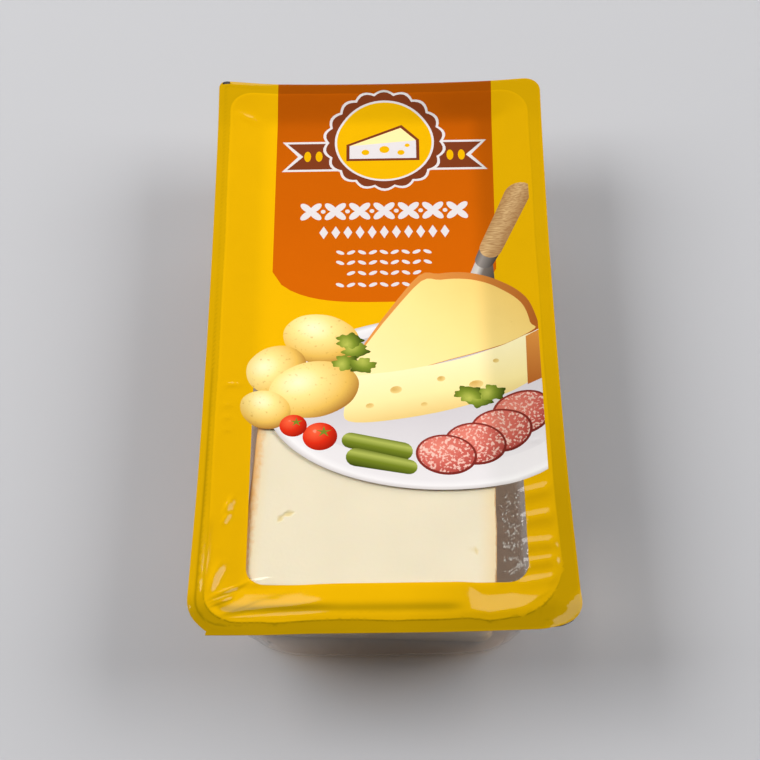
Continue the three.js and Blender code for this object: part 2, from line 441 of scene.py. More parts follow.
def film_height(x, y, sizes):
    """The height of the film's upper face at places on the sealed pack."""
    half_x, half_y = mm(sizes.width) / 2, mm(sizes.length) / 2
    u, v = relax(x, y, sizes)
    edge = box_depth(u, v, -half_x, half_x, -half_y, half_y, FLANGE_RADII)
    inside = seal_depth(u, v)
    sag = mm(sizes.film_sag)
    z = np.full_like(u, mm(sizes.height))
    for place, width, height in FLANGE_RIBS:
        z = z + rib_strength(u, v) * height * np.exp(-(((edge - place) / width) ** 2))
    z = z - EDGE_DROP * ease((EDGE_DROP_REACH - edge) / EDGE_DROP_REACH)
    place, width, height = INNER_RIB
    there = ease((-40 - u) / 4) * ease((-58 - v) / 8) * ease((v + 87) / 5)
    height = height * (1 + 0.28 * ease((v + 82) / 10))
    z = z + there * height * np.exp(-(((edge - place) / width) ** 2))
    # At the middle of the near side it runs down more gently, and right of it later and faster
    middle = ease((x + 25) / 14) * ease((27 - x) / 8) * ease((-66 - y) / 12)
    steep = ease((x - 17) / 7) * ease((46 - x) / 5) * ease((-79.5 - y) / 6.5)
    reach = SAG_REACH + MIDDLE_LONGER * middle - STEEP_SHORTER * steep
    share = np.interp((inside - STEEP_LATER * steep) / reach, SAG_RUN, SAG_SHARE)
    z = z - sag * (1 - STEEP_SHALLOWER * steep) * share
    z = z + lift(u, v, half_x, half_y) * (z / mm(sizes.height)) ** 6
    for fold in [*FOLDS, *ripple_folds()]:
        z = z + fold_height(x, y, fold) * ease(inside / 2.4)
    for wave in WAVES:
        z = z + wave_height(x, y, wave) * ease(inside / 2.2)
    for fold in FLANGE_FOLDS:
        z = z + fold_height(x, y, fold)
    dx, dy = CURL["to_x"] - CURL["x"], CURL["to_y"] - CURL["y"]
    beyond = ((x - CURL["x"]) * dy - (y - CURL["y"]) * dx) / math.hypot(dx, dy)
    return z + np.minimum(CURL["rise"] * np.maximum(beyond, 0) * ease(beyond), CURL["most"])


# Shader building


def new_material(name):
    material = bpy.data.materials.new(name)
    material.use_nodes = True
    material.node_tree.nodes.clear()
    return material


def add_node(tree, kind, inputs=None, **settings):
    """A node whose inputs are set to values, or linked where a socket is given."""
    made = tree.nodes.new(kind)
    for name, value in settings.items():
        setattr(made, name, value)
    for name, value in (inputs or {}).items():
        socket = made.inputs[name]
        if isinstance(value, bpy.types.NodeSocket):
            tree.links.new(value, socket)
        else:
            socket.default_value = value
    return made


def colour4(colour):
    return (*colour, 1.0)


def scaled(colour, factor):
    return tuple(min(1.0, max(0.0, c * factor)) for c in colour)


def ramp(tree, source, stops):
    """A colour ramp over a value; stops are (place, colour)."""
    made = add_node(tree, "ShaderNodeValToRGB", {"Fac": source})
    elements = made.color_ramp.elements
    while len(elements) < len(stops):
        elements.new(0.5)
    for element, (place, colour) in zip(elements, stops):
        element.position = place
        element.color = colour4(colour)
    return made.outputs["Color"]


def maths(tree, operation, *values):
    """A Math node's result for values or sockets."""
    inputs = dict(enumerate(values))
    return add_node(tree, "ShaderNodeMath", inputs, operation=operation).outputs[0]


def remap(tree, value, low, high, to_low=0.0, to_high=1.0):
    """A value between low and high, taken to another range."""
    ends = {"From Min": low, "From Max": high, "To Min": to_low, "To Max": to_high}
    return add_node(tree, "ShaderNodeMapRange", {"Value": value, **ends}).outputs["Result"]


def object_place(tree):
    return add_node(tree, "ShaderNodeTexCoord").outputs["Object"]


def attribute(tree, name):
    return add_node(tree, "ShaderNodeAttribute", attribute_name=name).outputs["Fac"]


def noise(tree, place, scale, detail):
    inputs = {"Vector": place, "Scale": scale, "Detail": detail}
    return add_node(tree, "ShaderNodeTexNoise", inputs).outputs["Fac"]


def put_out(tree, surface):
    """Links a shader's result to the material's output."""
    out = add_node(tree, "ShaderNodeOutputMaterial")
    tree.links.new(surface, out.inputs["Surface"])


def mix_colour(tree, factor, a, b, blend="MIX"):
    made = tree.nodes.new("ShaderNodeMix")
    made.data_type = "RGBA"
    made.blend_type = blend
    sockets = {s.identifier: s for s in made.inputs}
    for name, value in (("Factor_Float", factor), ("A_Color", a), ("B_Color", b)):
        if isinstance(value, bpy.types.NodeSocket):
            tree.links.new(value, sockets[name])
        else:
            sockets[name].default_value = value
    return next(s for s in made.outputs if s.identifier == "Result_Color")


def new_group(name, inputs, output, kind):
    """An empty node group with its two ends. Each input is (name, kind, default or None)."""
    tree = bpy.data.node_groups.new(name, "ShaderNodeTree")
    face = tree.interface
    for label, input_kind, default in inputs:
        socket = face.new_socket(name=label, in_out="INPUT", socket_type=input_kind)
        if default is not None:
            socket.default_value = default
    face.new_socket(name=output, in_out="OUTPUT", socket_type=kind)
    return tree, add_node(tree, "NodeGroupInput"), add_node(tree, "NodeGroupOutput")


def film_ripple_group():
    """The film's fine ripple, for every ink and for the window."""
    name = "Film ripple"
    if name in bpy.data.node_groups:
        return bpy.data.node_groups[name]
    tree, inside, outside = new_group(
        name, [("Depth", "NodeSocketFloat", 1.0)], "Height", "NodeSocketFloat"
    )
    place = object_place(tree)
    wide = noise(tree, place, 75.0, 2.0)
    fine = noise(tree, place, 420.0, 2.0)
    weighed = maths(tree, "MULTIPLY_ADD", fine, 0.10, wide)
    height = maths(tree, "MULTIPLY", weighed, inside.outputs["Depth"])
    tree.links.new(height, outside.inputs["Height"])
    return tree


def film_bump(tree, distance):
    """The normal of the film's ripple."""
    ripple = add_node(tree, "ShaderNodeGroup", node_tree=film_ripple_group())
    inputs = {"Height": ripple.outputs["Height"], "Strength": 1.0, "Distance": distance}
    return add_node(tree, "ShaderNodeBump", inputs).outputs["Normal"]


def painted_shading_group():
    """Darkens an ink with painted shade where the film has no cheese behind it, as on the flange.
    """
    name = "Print backing"
    if name in bpy.data.node_groups:
        return bpy.data.node_groups[name]
    inputs = [
        ("Ink", "NodeSocketColor", None),
        ("Mottle", "NodeSocketFloat", None),
        ("Share", "NodeSocketFloat", 1.0),
    ]
    tree, inside, outside = new_group(name, inputs, "Colour", "NodeSocketColor")
    cloud = noise(tree, object_place(tree), 120.0, 3.0)
    centred = maths(tree, "SUBTRACT", cloud, 0.5)
    painted_shading = attribute(tree, "painted_shading")
    mottled = maths(tree, "MULTIPLY_ADD", centred, inside.outputs["Mottle"], painted_shading)
    short = maths(tree, "SUBTRACT", mottled, 1.0)
    level = maths(tree, "MULTIPLY_ADD", short, inside.outputs["Share"], 1.0)
    greener = maths(tree, "POWER", level, 0.88)
    shade = add_node(
        tree, "ShaderNodeCombineColor", {"Red": level, "Green": greener, "Blue": level}
    ).outputs["Color"]
    dimmed = mix_colour(tree, 1.0, inside.outputs["Ink"], shade, "MULTIPLY")
    tree.links.new(dimmed, outside.inputs["Colour"])
    return tree


INK_MOTTLE = 0.05  # how unevenly the painted shade shows through the ink
INK_RIPPLE, WINDOW_RIPPLE = 0.00028, 0.00012  # how deep the film's fine ripple looks


def ink(name, stops, speckle=None, streaks=None, dimmed=1.0):
    """A printed ink under the film's gloss. stops run over the shape's tone, from 0 to 1.

    speckle is (scale, low, high, colour) of spots, and streaks (scale, turn, colour, share).
    dimmed is how much of the painted shade shows through the ink."""
    material = new_material(name)
    tree = material.node_tree
    colour = ramp(tree, attribute(tree, "tone"), stops)
    place = object_place(tree)
    if streaks:
        scale, turn, other, share = streaks
        turned = add_node(
            tree,
            "ShaderNodeMapping",
            {"Vector": place, "Rotation": (0, 0, turn), "Scale": (scale * 0.12, scale, scale)},
        ).outputs["Vector"]
        mask = remap(tree, noise(tree, turned, 1.0, 3.0), 0.42, 0.62, to_high=share)
        colour = mix_colour(tree, mask, colour, colour4(other))
    if speckle:
        scale, low, high, other = speckle
        mask = remap(tree, noise(tree, place, scale, 3.0), low, high, to_high=0.85)
        colour = mix_colour(tree, mask, colour, colour4(other))
    shading_node = add_node(tree, "ShaderNodeGroup", node_tree=painted_shading_group())
    tree.links.new(colour, shading_node.inputs["Ink"])
    shading_node.inputs["Mottle"].default_value = INK_MOTTLE
    shading_node.inputs["Share"].default_value = dimmed
    shader = add_node(
        tree,
        "ShaderNodeBsdfPrincipled",
        {
            "Base Color": shading_node.outputs["Colour"],
            "Roughness": 0.6,
            "Normal": film_bump(tree, INK_RIPPLE),
            "Specular IOR Level": 0.0,
            "Coat Weight": 0.5,
            "Coat Roughness": 0.07,
            "Coat IOR": 1.45,
        },
    )
    put_out(tree, shader.outputs["BSDF"])
    return material


def clear_plastic(name, tint, roughness, bump_distance=0.0):
    """Clear plastic that lets lamplight through to what it covers."""
    material = new_material(name)
    tree = material.node_tree
    settings = {
        "Base Color": colour4(tint),
        "Roughness": roughness,
        "IOR": 1.46,
        "Transmission Weight": 1.0,
    }
    shader = add_node(tree, "ShaderNodeBsdfPrincipled", settings)
    if bump_distance:
        tree.links.new(film_bump(tree, bump_distance), shader.inputs["Normal"])
    through = add_node(tree, "ShaderNodeBsdfTransparent", {"Color": colour4(scaled(tint, 0.98))})
    rays = add_node(tree, "ShaderNodeLightPath")
    seen = shader.outputs["BSDF"]
    # Without the second, light would reach the cheese twice, as a lamp's and as scattered light
    for kind in ("Is Shadow Ray", "Is Diffuse Ray"):
        mixed = add_node(tree, "ShaderNodeMixShader")
        tree.links.new(rays.outputs[kind], mixed.inputs[0])
        tree.links.new(seen, mixed.inputs[1])
        tree.links.new(through.outputs["BSDF"], mixed.inputs[2])
        seen = mixed.outputs["Shader"]
    put_out(tree, seen)
    return material


def plain_material(name, colour, roughness):
    """One even colour, as of the flecks and the floor."""
    material = new_material(name)
    tree = material.node_tree
    shader = add_node(
        tree, "ShaderNodeBsdfPrincipled", {"Base Color": colour4(colour), "Roughness": roughness}
    )
    put_out(tree, shader.outputs["BSDF"])
    return material


def cheese_material(colours, slices):
    """Ivory cheese that turns yellower towards a thin, uneven rind on its two long sides."""
    material = new_material("Cheese and rind")
    tree = material.node_tree
    place = object_place(tree)
    own = add_node(tree, "ShaderNodeUVMap", uv_map="slice").outputs["UV"]
    split = add_node(tree, "ShaderNodeSeparateXYZ", {"Vector": own})
    across = maths(tree, "ABSOLUTE", split.outputs["X"])
    rough_edge = noise(tree, place, 700.0, 4.0)
    # The slice's own map holds its place across in tenths of a metre
    side = 10 * (slices.width / 2 - slices.bulge)
    face = ramp(
        tree,
        noise(tree, place, 55.0, 4.0),
        [
            (0.30, scaled(colours.cheese, 0.965)),
            (0.55, colours.cheese),
            (0.75, scaled(colours.cheese, 1.025)),
        ],
    )
    warm = remap(tree, across, side - 0.05, side, to_high=0.55)
    face = mix_colour(tree, warm, face, (0.84, 0.60, 0.26, 1))
    # The left side is riper, and its orange reaches in unevenly
    left = maths(tree, "MULTIPLY_ADD", rough_edge, 0.03, split.outputs["X"])
    riper = remap(tree, left, 0.020 - side, 0.042 - side, 1.0, 0.0)
    ripe = (0.78, 0.40, 0.115, 1)
    face = mix_colour(tree, riper, face, ripe)
    in_eye = maths(tree, "MULTIPLY", attribute(tree, "eye"), 0.9)
    face = mix_colour(tree, in_eye, face, (0.76, 0.60, 0.27, 1))
    uneven = maths(tree, "MULTIPLY_ADD", rough_edge, 0.011, across)
    rind_mask = remap(tree, uneven, side + 0.0002, side + 0.0048)
    dark, pale = scaled(colours.rind, 0.75), scaled(colours.rind, 1.5)
    rind = ramp(tree, rough_edge, [(0.35, dark), (0.6, colours.rind), (0.75, pale)])
    rind = mix_colour(tree, maths(tree, "MULTIPLY", riper, 0.5), rind, ripe)
    colour = mix_colour(tree, rind_mask, face, rind)
    grain = noise(tree, place, 900.0, 5.0)
    bump = add_node(
        tree, "ShaderNodeBump", {"Height": grain, "Strength": 0.5, "Distance": 0.0001}
    )
    shader = add_node(
        tree,
        "ShaderNodeBsdfPrincipled",
        {
            "Base Color": colour,
            "Roughness": 0.48,
            "Normal": bump.outputs["Normal"],
            "Subsurface Weight": 0.20,
            "Subsurface Radius": (1.0, 0.6, 0.3),
            "Subsurface Scale": 0.003,
        },
    )
    put_out(tree, shader.outputs["BSDF"])
    return material


# The tray

# Cuts across the whole tray, in metres: evenly between these, then finer to the lifted corners
EVEN_Y, EVEN_X, EVEN_STEP = 0.072, 0.032, 0.008
LIFTED_Y = (0.074, 0.078, 0.082, 0.086, 0.090)
LIFTED_X = (0.033, 0.037, 0.041, 0.045)
STEP = 0.0009  # how far the wall steps in below the rim
STEP_UNDER, STEP_OVER, STEP_BACK = 0.0005, 0.0004, 0.0001  # the step's two edges
NECK_RADIUS = 0.0011  # between the wall and the flange
WALL_HEIGHTS = (0.012, 0.021)  # rings of the wall between its foot and the step
FOOT_STEPS, NECK_STEPS, CORNER_STEPS = 5, 3, 8
CORNER_REACH = 0.020  # a corner's places lie within this of the sides
RAISED = 0.004  # for bridging, as the flange's ring would lie level with the neck's
SEAL_GAP = 0.0001  # between flange and film
SWELL_HALF_WIDTH = 0.034


def add_ring(inset, z, radii, sizes, keep_face=False):
    """In edit mode, adds a rounded rectangle of edges at height z, in metres."""
    mesh = bpy.context.edit_object.data
    half_x, half_y = sizes.width / 2 - inset, sizes.length / 2 - inset
    bpy.ops.mesh.select_all(action="DESELECT")
    bpy.ops.mesh.primitive_plane_add(size=2, location=(0, 0, z))
    bpy.ops.transform.resize(value=(half_x, half_y, 1), center_override=(0, 0, z))
    for (sx, sy), radius in zip(CORNER_SIGNS, radii):
        corner = Vector((sx * half_x, sy * half_y, z))
        select_where(mesh, lambda v, c=corner: (v.co - c).length < CLOSE)
        bpy.ops.mesh.bevel(
            offset=radius, offset_type="OFFSET", segments=CORNER_STEPS, affect="VERTICES"
        )
    if not keep_face:
        select_where(
            mesh,
            lambda f: all(abs(mesh.vertices[i].co.z - z) < LEVEL for i in f.vertices)
            and abs(max(abs(mesh.vertices[i].co.x) for i in f.vertices) - half_x) < CLOSE,
            "FACE",
        )
        bpy.ops.mesh.delete(type="ONLY_FACE")


def bridge(first, second):
    """In edit mode, joins two rings, each given by its inset half width and height."""
    mesh = bpy.context.edit_object.data

    def on(edge, ring):
        half_x, half_y, z = ring
        for i in edge.vertices:
            co = mesh.vertices[i].co
            if abs(co.z - z) > LEVEL or abs(co.x) > half_x + CLOSE or abs(co.y) > half_y + CLOSE:
                return False
        a, b = (mesh.vertices[i].co for i in edge.vertices)
        far = max(abs(a.x) - half_x, abs(a.y) - half_y, abs(b.x) - half_x, abs(b.y) - half_y)
        near_edge = all(
            abs(abs(c.x) - half_x) < CLOSE
            or abs(abs(c.y) - half_y) < CLOSE
            or (abs(c.x) > half_x - CORNER_REACH and abs(c.y) > half_y - CORNER_REACH)
            for c in (a, b)
        )
        return near_edge and far < CLOSE

    select_where(mesh, lambda e: on(e, first) or on(e, second), "EDGE")
    bpy.ops.mesh.bridge_edge_loops()


def pull_mesh(mesh, sizes):
    """Pulls a mesh's vertices out of true, as the sealed pack is."""
    co = np.array([v.co for v in mesh.vertices]) / MM
    half_x, half_y = mm(sizes.width) / 2, mm(sizes.length) / 2
    raised = lift(co[:, 0], co[:, 1], half_x, half_y)
    x, y = pull(co[:, 0], co[:, 1], sizes)
    z = co[:, 2] + raised * (co[:, 2] / mm(sizes.height)) ** 6
    mesh.vertices.foreach_set("co", (np.stack([x, y, z], 1) * MM).ravel())
    mesh.update()


class CHEESEPACK_OT_tray(bpy.types.Operator):
    """Make the clear tray: bridged rings from the floor to the flange, given their wall"""

    bl_idname = "cheesepack.tray"
    bl_label = "Clear tray"

    def execute(self, context):
        sizes = context.scene.cheese_pack_sizes
        flange_top = sizes.height - sizes.film_thickness - SEAL_GAP
        under = flange_top - sizes.wall
        base = [sizes.base_radius] * 2 + [sizes.near_base_radius] * 2
        flange = [r * MM - sizes.rim_inset for r in FLANGE_RADII]
        mouth = [(r + 0.6) * MM for r in MOUTH_RADII]
        rings = []
        for i in range(FOOT_STEPS + 1):
            angle = math.pi / 2 * i / FOOT_STEPS
            back = sizes.foot_radius * (1 - math.sin(angle))
            z = sizes.foot_radius * (1 - math.cos(angle))
            rings.append((sizes.base_inset + back, z, [r - back for r in base]))
        neck = sizes.flange_width
        for z in (*WALL_HEIGHTS, sizes.step_height - STEP_UNDER):
            share = z / sizes.step_height
            inset = sizes.base_inset + (neck + STEP - sizes.base_inset) * share
            radii = [b + (m - b) * z / sizes.height for b, m in zip(base, mouth)]
            rings.append((inset, z, radii))
        rings.append((neck + STEP_BACK, sizes.step_height + STEP_OVER, rings[-1][2]))
        for i in range(NECK_STEPS + 1):
            angle = math.pi / 2 * i / NECK_STEPS
            inset = neck - NECK_RADIUS * (1 - math.cos(angle))
            rings.append((inset, under - NECK_RADIUS * (1 - math.sin(angle)), mouth))
        rings.append((sizes.rim_inset, under + RAISED, flange))

        deselect()
        bpy.ops.mesh.primitive_plane_add(size=0.001, location=(0, 0, -0.01))
        piece = context.active_object
        piece.name = "clear_tray"
        bpy.ops.object.transform_apply(location=True)
        bpy.ops.object.mode_set(mode="EDIT")
        bpy.ops.mesh.select_all(action="SELECT")
        bpy.ops.mesh.delete(type="VERT")
        for k, (inset, z, radii) in enumerate(rings):
            add_ring(inset, z, radii, sizes, keep_face=k == 0)
        spans = [(sizes.width / 2 - i, sizes.length / 2 - i, z) for i, z, _ in rings]
        for first, second in zip(spans, spans[1:]):
            bridge(first, second)
        select_where(piece.data, lambda v: v.co.z > under + RAISED / 2)
        bpy.ops.transform.translate(value=(0, 0, 0.00001 - RAISED))
        for axis, even, lifted in ((1, EVEN_Y, LIFTED_Y), (0, EVEN_X, LIFTED_X)):
            finer_cuts = [side * place for side in (-1, 1) for place in lifted]
            cut_across(axis, [*spaced(-even, even, EVEN_STEP), *finer_cuts])
        bpy.ops.mesh.select_all(action="SELECT")
        bpy.ops.mesh.normals_make_consistent(inside=False)
        bpy.ops.object.mode_set(mode="OBJECT")
        if min(piece.data.polygons, key=lambda f: f.center.z).normal.z > 0:
            bpy.ops.object.mode_set(mode="EDIT")
            bpy.ops.mesh.flip_normals()
            bpy.ops.object.mode_set(mode="OBJECT")
        for vertex in piece.data.vertices:
            x, y, z = vertex.co
            swell = max(0, 1 - (x / SWELL_HALF_WIDTH) ** 2) * max(0, 1 - z / sizes.step_height)
            if y < 0:
                vertex.co.y = y * (1 + sizes.foot_swell * swell * 2 / sizes.length)
        pull_mesh(piece.data, sizes)
        apply_modifier(piece, "SOLIDIFY", thickness=sizes.wall, offset=-1.0)
        smooth(piece, 50)
        # The tray's brownish tint is partly painted shade: it darkens and browns what is seen
        # through it
        piece.data.materials.append(clear_plastic("Clear tray plastic", (0.92, 0.87, 0.82), 0.04))
        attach(piece, "root")
        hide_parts("tray")
        return {"FINISHED"}


# The cheese


def seeded_draws(seed):
    """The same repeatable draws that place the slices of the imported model."""
    state = seed
    while True:
        state = (1664525 * state + 1013904223) % 2**32
        yield state / 2**32


# Eyes on a slice's upper face: across, along, half length, half width, turn, depth, in millimetres
EYES = [
    (-22.8, -18.8, 1.9, 0.80, 18, 0.30),
    (-24.9, -20.3, 1.5, 0.75, 56, 0.28),
    (29.0, -28.2, 0.7, 1.2, 15, 0.20),
]
# Steps of a slice's mesh in metres: of a plain one, of one with eyes, and at its eyes
PLAIN_STEP, EYED_STEP, EYE_STEP = 0.004, 0.002, 0.00035
EYE_MARGIN = 1.2  # of the finer cuts round an eye, in millimetres
SLANT = 0.0010  # how far a slice's two sides slant over half its length


def slice_piece(name, slices, uneven, eyes):
    """One slice round its own middle: a block with rounded edges whose rind sides bulge."""
    half_x, half_y = slices.width / 2 - slices.bulge, slices.length / 2
    deselect()
    bpy.ops.mesh.primitive_cube_add(size=1, location=(0, 0, slices.thickness / 2))
    piece = bpy.context.active_object
    piece.name = name
    piece.scale = (2 * half_x, 2 * half_y, slices.thickness)
    bpy.ops.object.transform_apply(location=True, scale=True)
    mesh = piece.data
    bpy.ops.object.mode_set(mode="EDIT")
    select_where(
        mesh,
        lambda e: abs(mesh.vertices[e.vertices[0]].co.z - mesh.vertices[e.vertices[1]].co.z)
        > slices.thickness / 2,
        "EDGE",
    )
    bpy.ops.mesh.bevel(offset=slices.corner, segments=5, affect="EDGES")
    top = slices.thickness
    select_where(
        mesh,
        lambda e: all(abs(mesh.vertices[i].co.z - top) < LEVEL for i in e.vertices)
        or all(abs(mesh.vertices[i].co.z) < LEVEL for i in e.vertices),
        "EDGE",
    )
    bpy.ops.mesh.bevel(offset=slices.edge, segments=3, affect="EDGES")
    step = EYED_STEP if eyes else PLAIN_STEP
    cut_across(1, spaced(-half_y, half_y, step))
    cut_across(0, spaced(-half_x, half_x, step))
    for x, y, long, *_ in eyes:
        reach = (long + EYE_MARGIN) * MM
        cut_across(0, spaced(x * MM - reach, x * MM + reach, EYE_STEP))
        cut_across(1, spaced(y * MM - reach, y * MM + reach, EYE_STEP))
    bpy.ops.object.mode_set(mode="OBJECT")
    co = np.array([v.co for v in mesh.vertices])
    flat = co.copy()
    bulge = slices.bulge * (1 - (co[:, 1] / half_y) ** 6)
    wave = 1 + 0.10 * np.sin(co[:, 1] * 190 + uneven[0] * 9) + 0.05 * np.sin(co[:, 1] * 530)
    side = np.where(co[:, 0] > 0, uneven[1], uneven[0])
    co[:, 0] += co[:, 0] / half_x * (bulge * side * wave - SLANT * co[:, 1] / half_y)
    upper = co[:, 2] > slices.thickness * 0.5
    eyed = np.zeros(len(co))
    for x, y, long, wide, turn, depth in eyes:
        angle = math.radians(turn)
        dx, dy = co[:, 0] / MM - x, co[:, 1] / MM - y
        along = (dx * math.cos(angle) + dy * math.sin(angle)) / long
        across = (dy * math.cos(angle) - dx * math.sin(angle)) / wide
        ragged = 1 + 0.25 * np.sin(3.1 * along + 2.0) + 0.2 * np.sin(6.3 * across + 4 * along)
        hole = np.clip(1 - (along**2 + (across / ragged) ** 2), 0, 1) ** 0.6
        co[:, 2] -= np.where(upper, hole * depth * MM, 0)
        eyed = np.maximum(eyed, np.where(upper, hole, 0) * min(1.0, depth * 4))
    mesh.vertices.foreach_set("co", co.ravel())
    mesh.update()
    mesh.attributes.new("eye", "FLOAT", "POINT").data.foreach_set("value", eyed)
    layer = mesh.uv_layers.new(name="slice")
    corners = np.zeros(len(mesh.loops), dtype=int)
    mesh.loops.foreach_get("vertex_index", corners)
    layer.data.foreach_set("uv", (flat[corners, :2] * 10).ravel())
    mesh.uv_layers.active = layer
    smooth(piece, 40)
    return piece


class CHEESEPACK_OT_slices(bpy.types.Operator):
    """Make the two stacks of slices, each slice a little out of line"""

    bl_idname = "cheesepack.slices"
    bl_label = "Slices of cheese"

    def execute(self, context):
        scene = context.scene
        slices, sizes = scene.cheese_slice_sizes, scene.cheese_pack_sizes
        material = cheese_material(scene.cheese_pack_colours, slices)
        draws = seeded_draws(slices.seed)
        turns = {"front": slices.front_turn, "back": slices.back_turn}
        for node in SLICE_NODES:
            _, end, number = node.split("_")
            uneven = [0.7 + 0.6 * next(draws), 0.7 + 0.6 * next(draws)]
            across = slices.left_offset + (2 * next(draws) - 1) * slices.shift
            turn = turns[end] + (2 * next(draws) - 1) * slices.loose_turn
            level = int(number) - 1
            eyes = EYES if level == STACK_COUNT - 1 else []
            piece = slice_piece(f"cheese_{end}_{number}", slices, uneven, eyes)
            along = slices.stack_reach * (-1 if end == "front" else 1)
            up = sizes.wall + slices.gap + level * (slices.thickness + slices.gap)
            place = Matrix.Translation((across, along, up)) @ Matrix.Rotation(turn, 4, "Z")
            piece.data.transform(place)
            piece.data.materials.append(material)
            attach(piece, "root")
            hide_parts(node)
        return {"FINISHED"}


# The artwork: outlines in millimetres on the lid, with the ink and the tone of each


def ellipse(cx, cy, rx, ry, turn=0, count=40):
    c, s = math.cos(math.radians(turn)), math.sin(math.radians(turn))
    points = []
    for i in range(count):
        t = 2 * math.pi * i / count
        x, y = rx * math.cos(t), ry * math.sin(t)
        points.append((cx + x * c - y * s, cy + x * s + y * c))
    return points


def blob(points, steps=6):
    """A smooth closed line through the points."""
    loop = []
    count = len(points)
    for i in range(count):
        p0, p1, p2, p3 = (Vector(points[(i + k - 1) % count]) for k in range(4))
        for j in range(steps):
            t = j / steps
            bend = (2 * p0 - 5 * p1 + 4 * p2 - p3) * t * t
            twist = (3 * p1 - p0 - 3 * p2 + p3) * t**3
            loop.append(tuple(0.5 * (2 * p1 + (p2 - p0) * t + bend + twist)))
    return loop


def scalloped(cx, cy, radius, depth, scallops=18, steps=6):
    points = []
    for i in range(scallops * steps):
        t = 2 * math.pi * i / (scallops * steps)
        r = radius + depth * abs(math.sin(scallops * t / 2))
        points.append((cx + r * math.cos(t), cy + r * math.sin(t)))
    return points


def capsule(x0, y0, x1, y1, r0, r1=None, steps=8):
    """A bar with round ends, which may taper."""
    r1 = r0 if r1 is None else r1
    angle = math.atan2(y1 - y0, x1 - x0)
    points = []
    for (cx, cy, r), start in (((x1, y1, r1), -math.pi / 2), ((x0, y0, r0), math.pi / 2)):
        for i in range(steps + 1):
            t = angle + start + math.pi * i / steps
            points.append((cx + r * math.cos(t), cy + r * math.sin(t)))
    return points


def finer(outline, step=1.2):
    """The same outline counter-clockwise, with its long sides divided."""
    turn = sum(
        a[0] * b[1] - b[0] * a[1] for a, b in zip(outline, [*outline[1:], outline[0]])
    )
    outline = list(outline) if turn > 0 else list(outline)[::-1]
    points = []
    for a, b in zip(outline, [*outline[1:], outline[0]]):
        count = max(1, math.ceil(math.dist(a, b) / step))
        for i in range(count):
            t = i / count
            points.append((a[0] + (b[0] - a[0]) * t, a[1] + (b[1] - a[1]) * t))
    return points


def clipped(points, right):
    """A convex outline cut off at a straight right edge."""
    cut = [(min(x, right), y) for x, y in points]
    return [p for i, p in enumerate(cut) if p != cut[i - 1]]


def from_centre(cx, cy, rx, ry, turn=0, light=(-0.3, 0.35)):
    """Tone that grows from a highlight near a round thing's middle to its rim."""
    angle = math.radians(turn)

    def tone(x, y):
        dx, dy = x - cx, y - cy
        u = (dx * math.cos(angle) + dy * math.sin(angle)) / rx - light[0]
        v = (dy * math.cos(angle) - dx * math.sin(angle)) / ry - light[1]
        return np.clip(np.hypot(u, v) / (1 + math.hypot(*light)), 0, 1)

    return tone


def along_line(x0, y0, x1, y1):
    """Tone that grows evenly from one place to another."""
    length2 = (x1 - x0) ** 2 + (y1 - y0) ** 2

    def tone(x, y):
        return np.clip(((x - x0) * (x1 - x0) + (y - y0) * (y1 - y0)) / length2, 0, 1)

    return tone


def flat_tone(value):
    return lambda x, y: np.full_like(x, value)


FLAT = flat_tone(1)


PICTURE_RIGHT = 45.6
PANEL = {"left": -32.6, "right": 34.55, "side_near": 20.1, "middle_near": 8.6, "flare": 1.5}
DISH = {"cx": 18.0, "cy": -25.7, "rx": 51.0, "ry": 28.8}
BADGE = (1.4, 70.0)


def window_shape():
    """The window's box, its near corners round."""
    w = WINDOW
    return box_outline(
        w["left"], w["right"], w["near"], w["far"], (2, 2, w["radius"], w["radius"]), 7, 3.0
    )


def panel_shape():
    left, right = PANEL["left"], PANEL["right"]
    side, middle = PANEL["side_near"], PANEL["middle_near"]
    arc = [(right + PANEL["flare"], 98.0), (left, 98.0)]
    steps = 24
    for i in range(steps + 1):
        t = -1 + 2 * i / steps
        drop = (1 - abs(t) ** 3.2) ** 0.62
        arc.append(((left + right) / 2 + (right - left) / 2 * t, side + (middle - side) * drop))
    return arc


def ornament_shapes():
    """White folk ornament in rows on the panel."""
    shapes = []
    middle, row = 1.1, 42.6
    for i in range(-3, 4):
        x = middle + i * 7.5
        for turn in (0, 90, 180, 270):
            angle = math.radians(turn + 45)
            cx, cy = x + 2.05 * math.cos(angle), row + 2.05 * math.sin(angle)
            shapes.append((ellipse(cx, cy, 2.3, 1.15, turn + 45, 16), "white", FLAT))
        if i < 3:
            shapes.append((ellipse(x + 3.75, row, 0.75, 0.75, 0, 10), "white", FLAT))
    for i in range(-5, 6):
        x = middle + i * 3.7
        diamond = [(x, 36.9), (x - 1.35, 34.5), (x, 32.1), (x + 1.35, 34.5)]
        shapes.append((diamond, "white", FLAT))
    for y, half in ((26.9, 4), (23.1, 4), (19.2, 3), (14.9, 4)):
        for i in range(-half, half + 1):
            turn = 24 if i % 2 else -24
            shapes.append((ellipse(0.9 + i * 3.3, y, 1.35, 0.62, turn, 12), "white", FLAT))
    return shapes


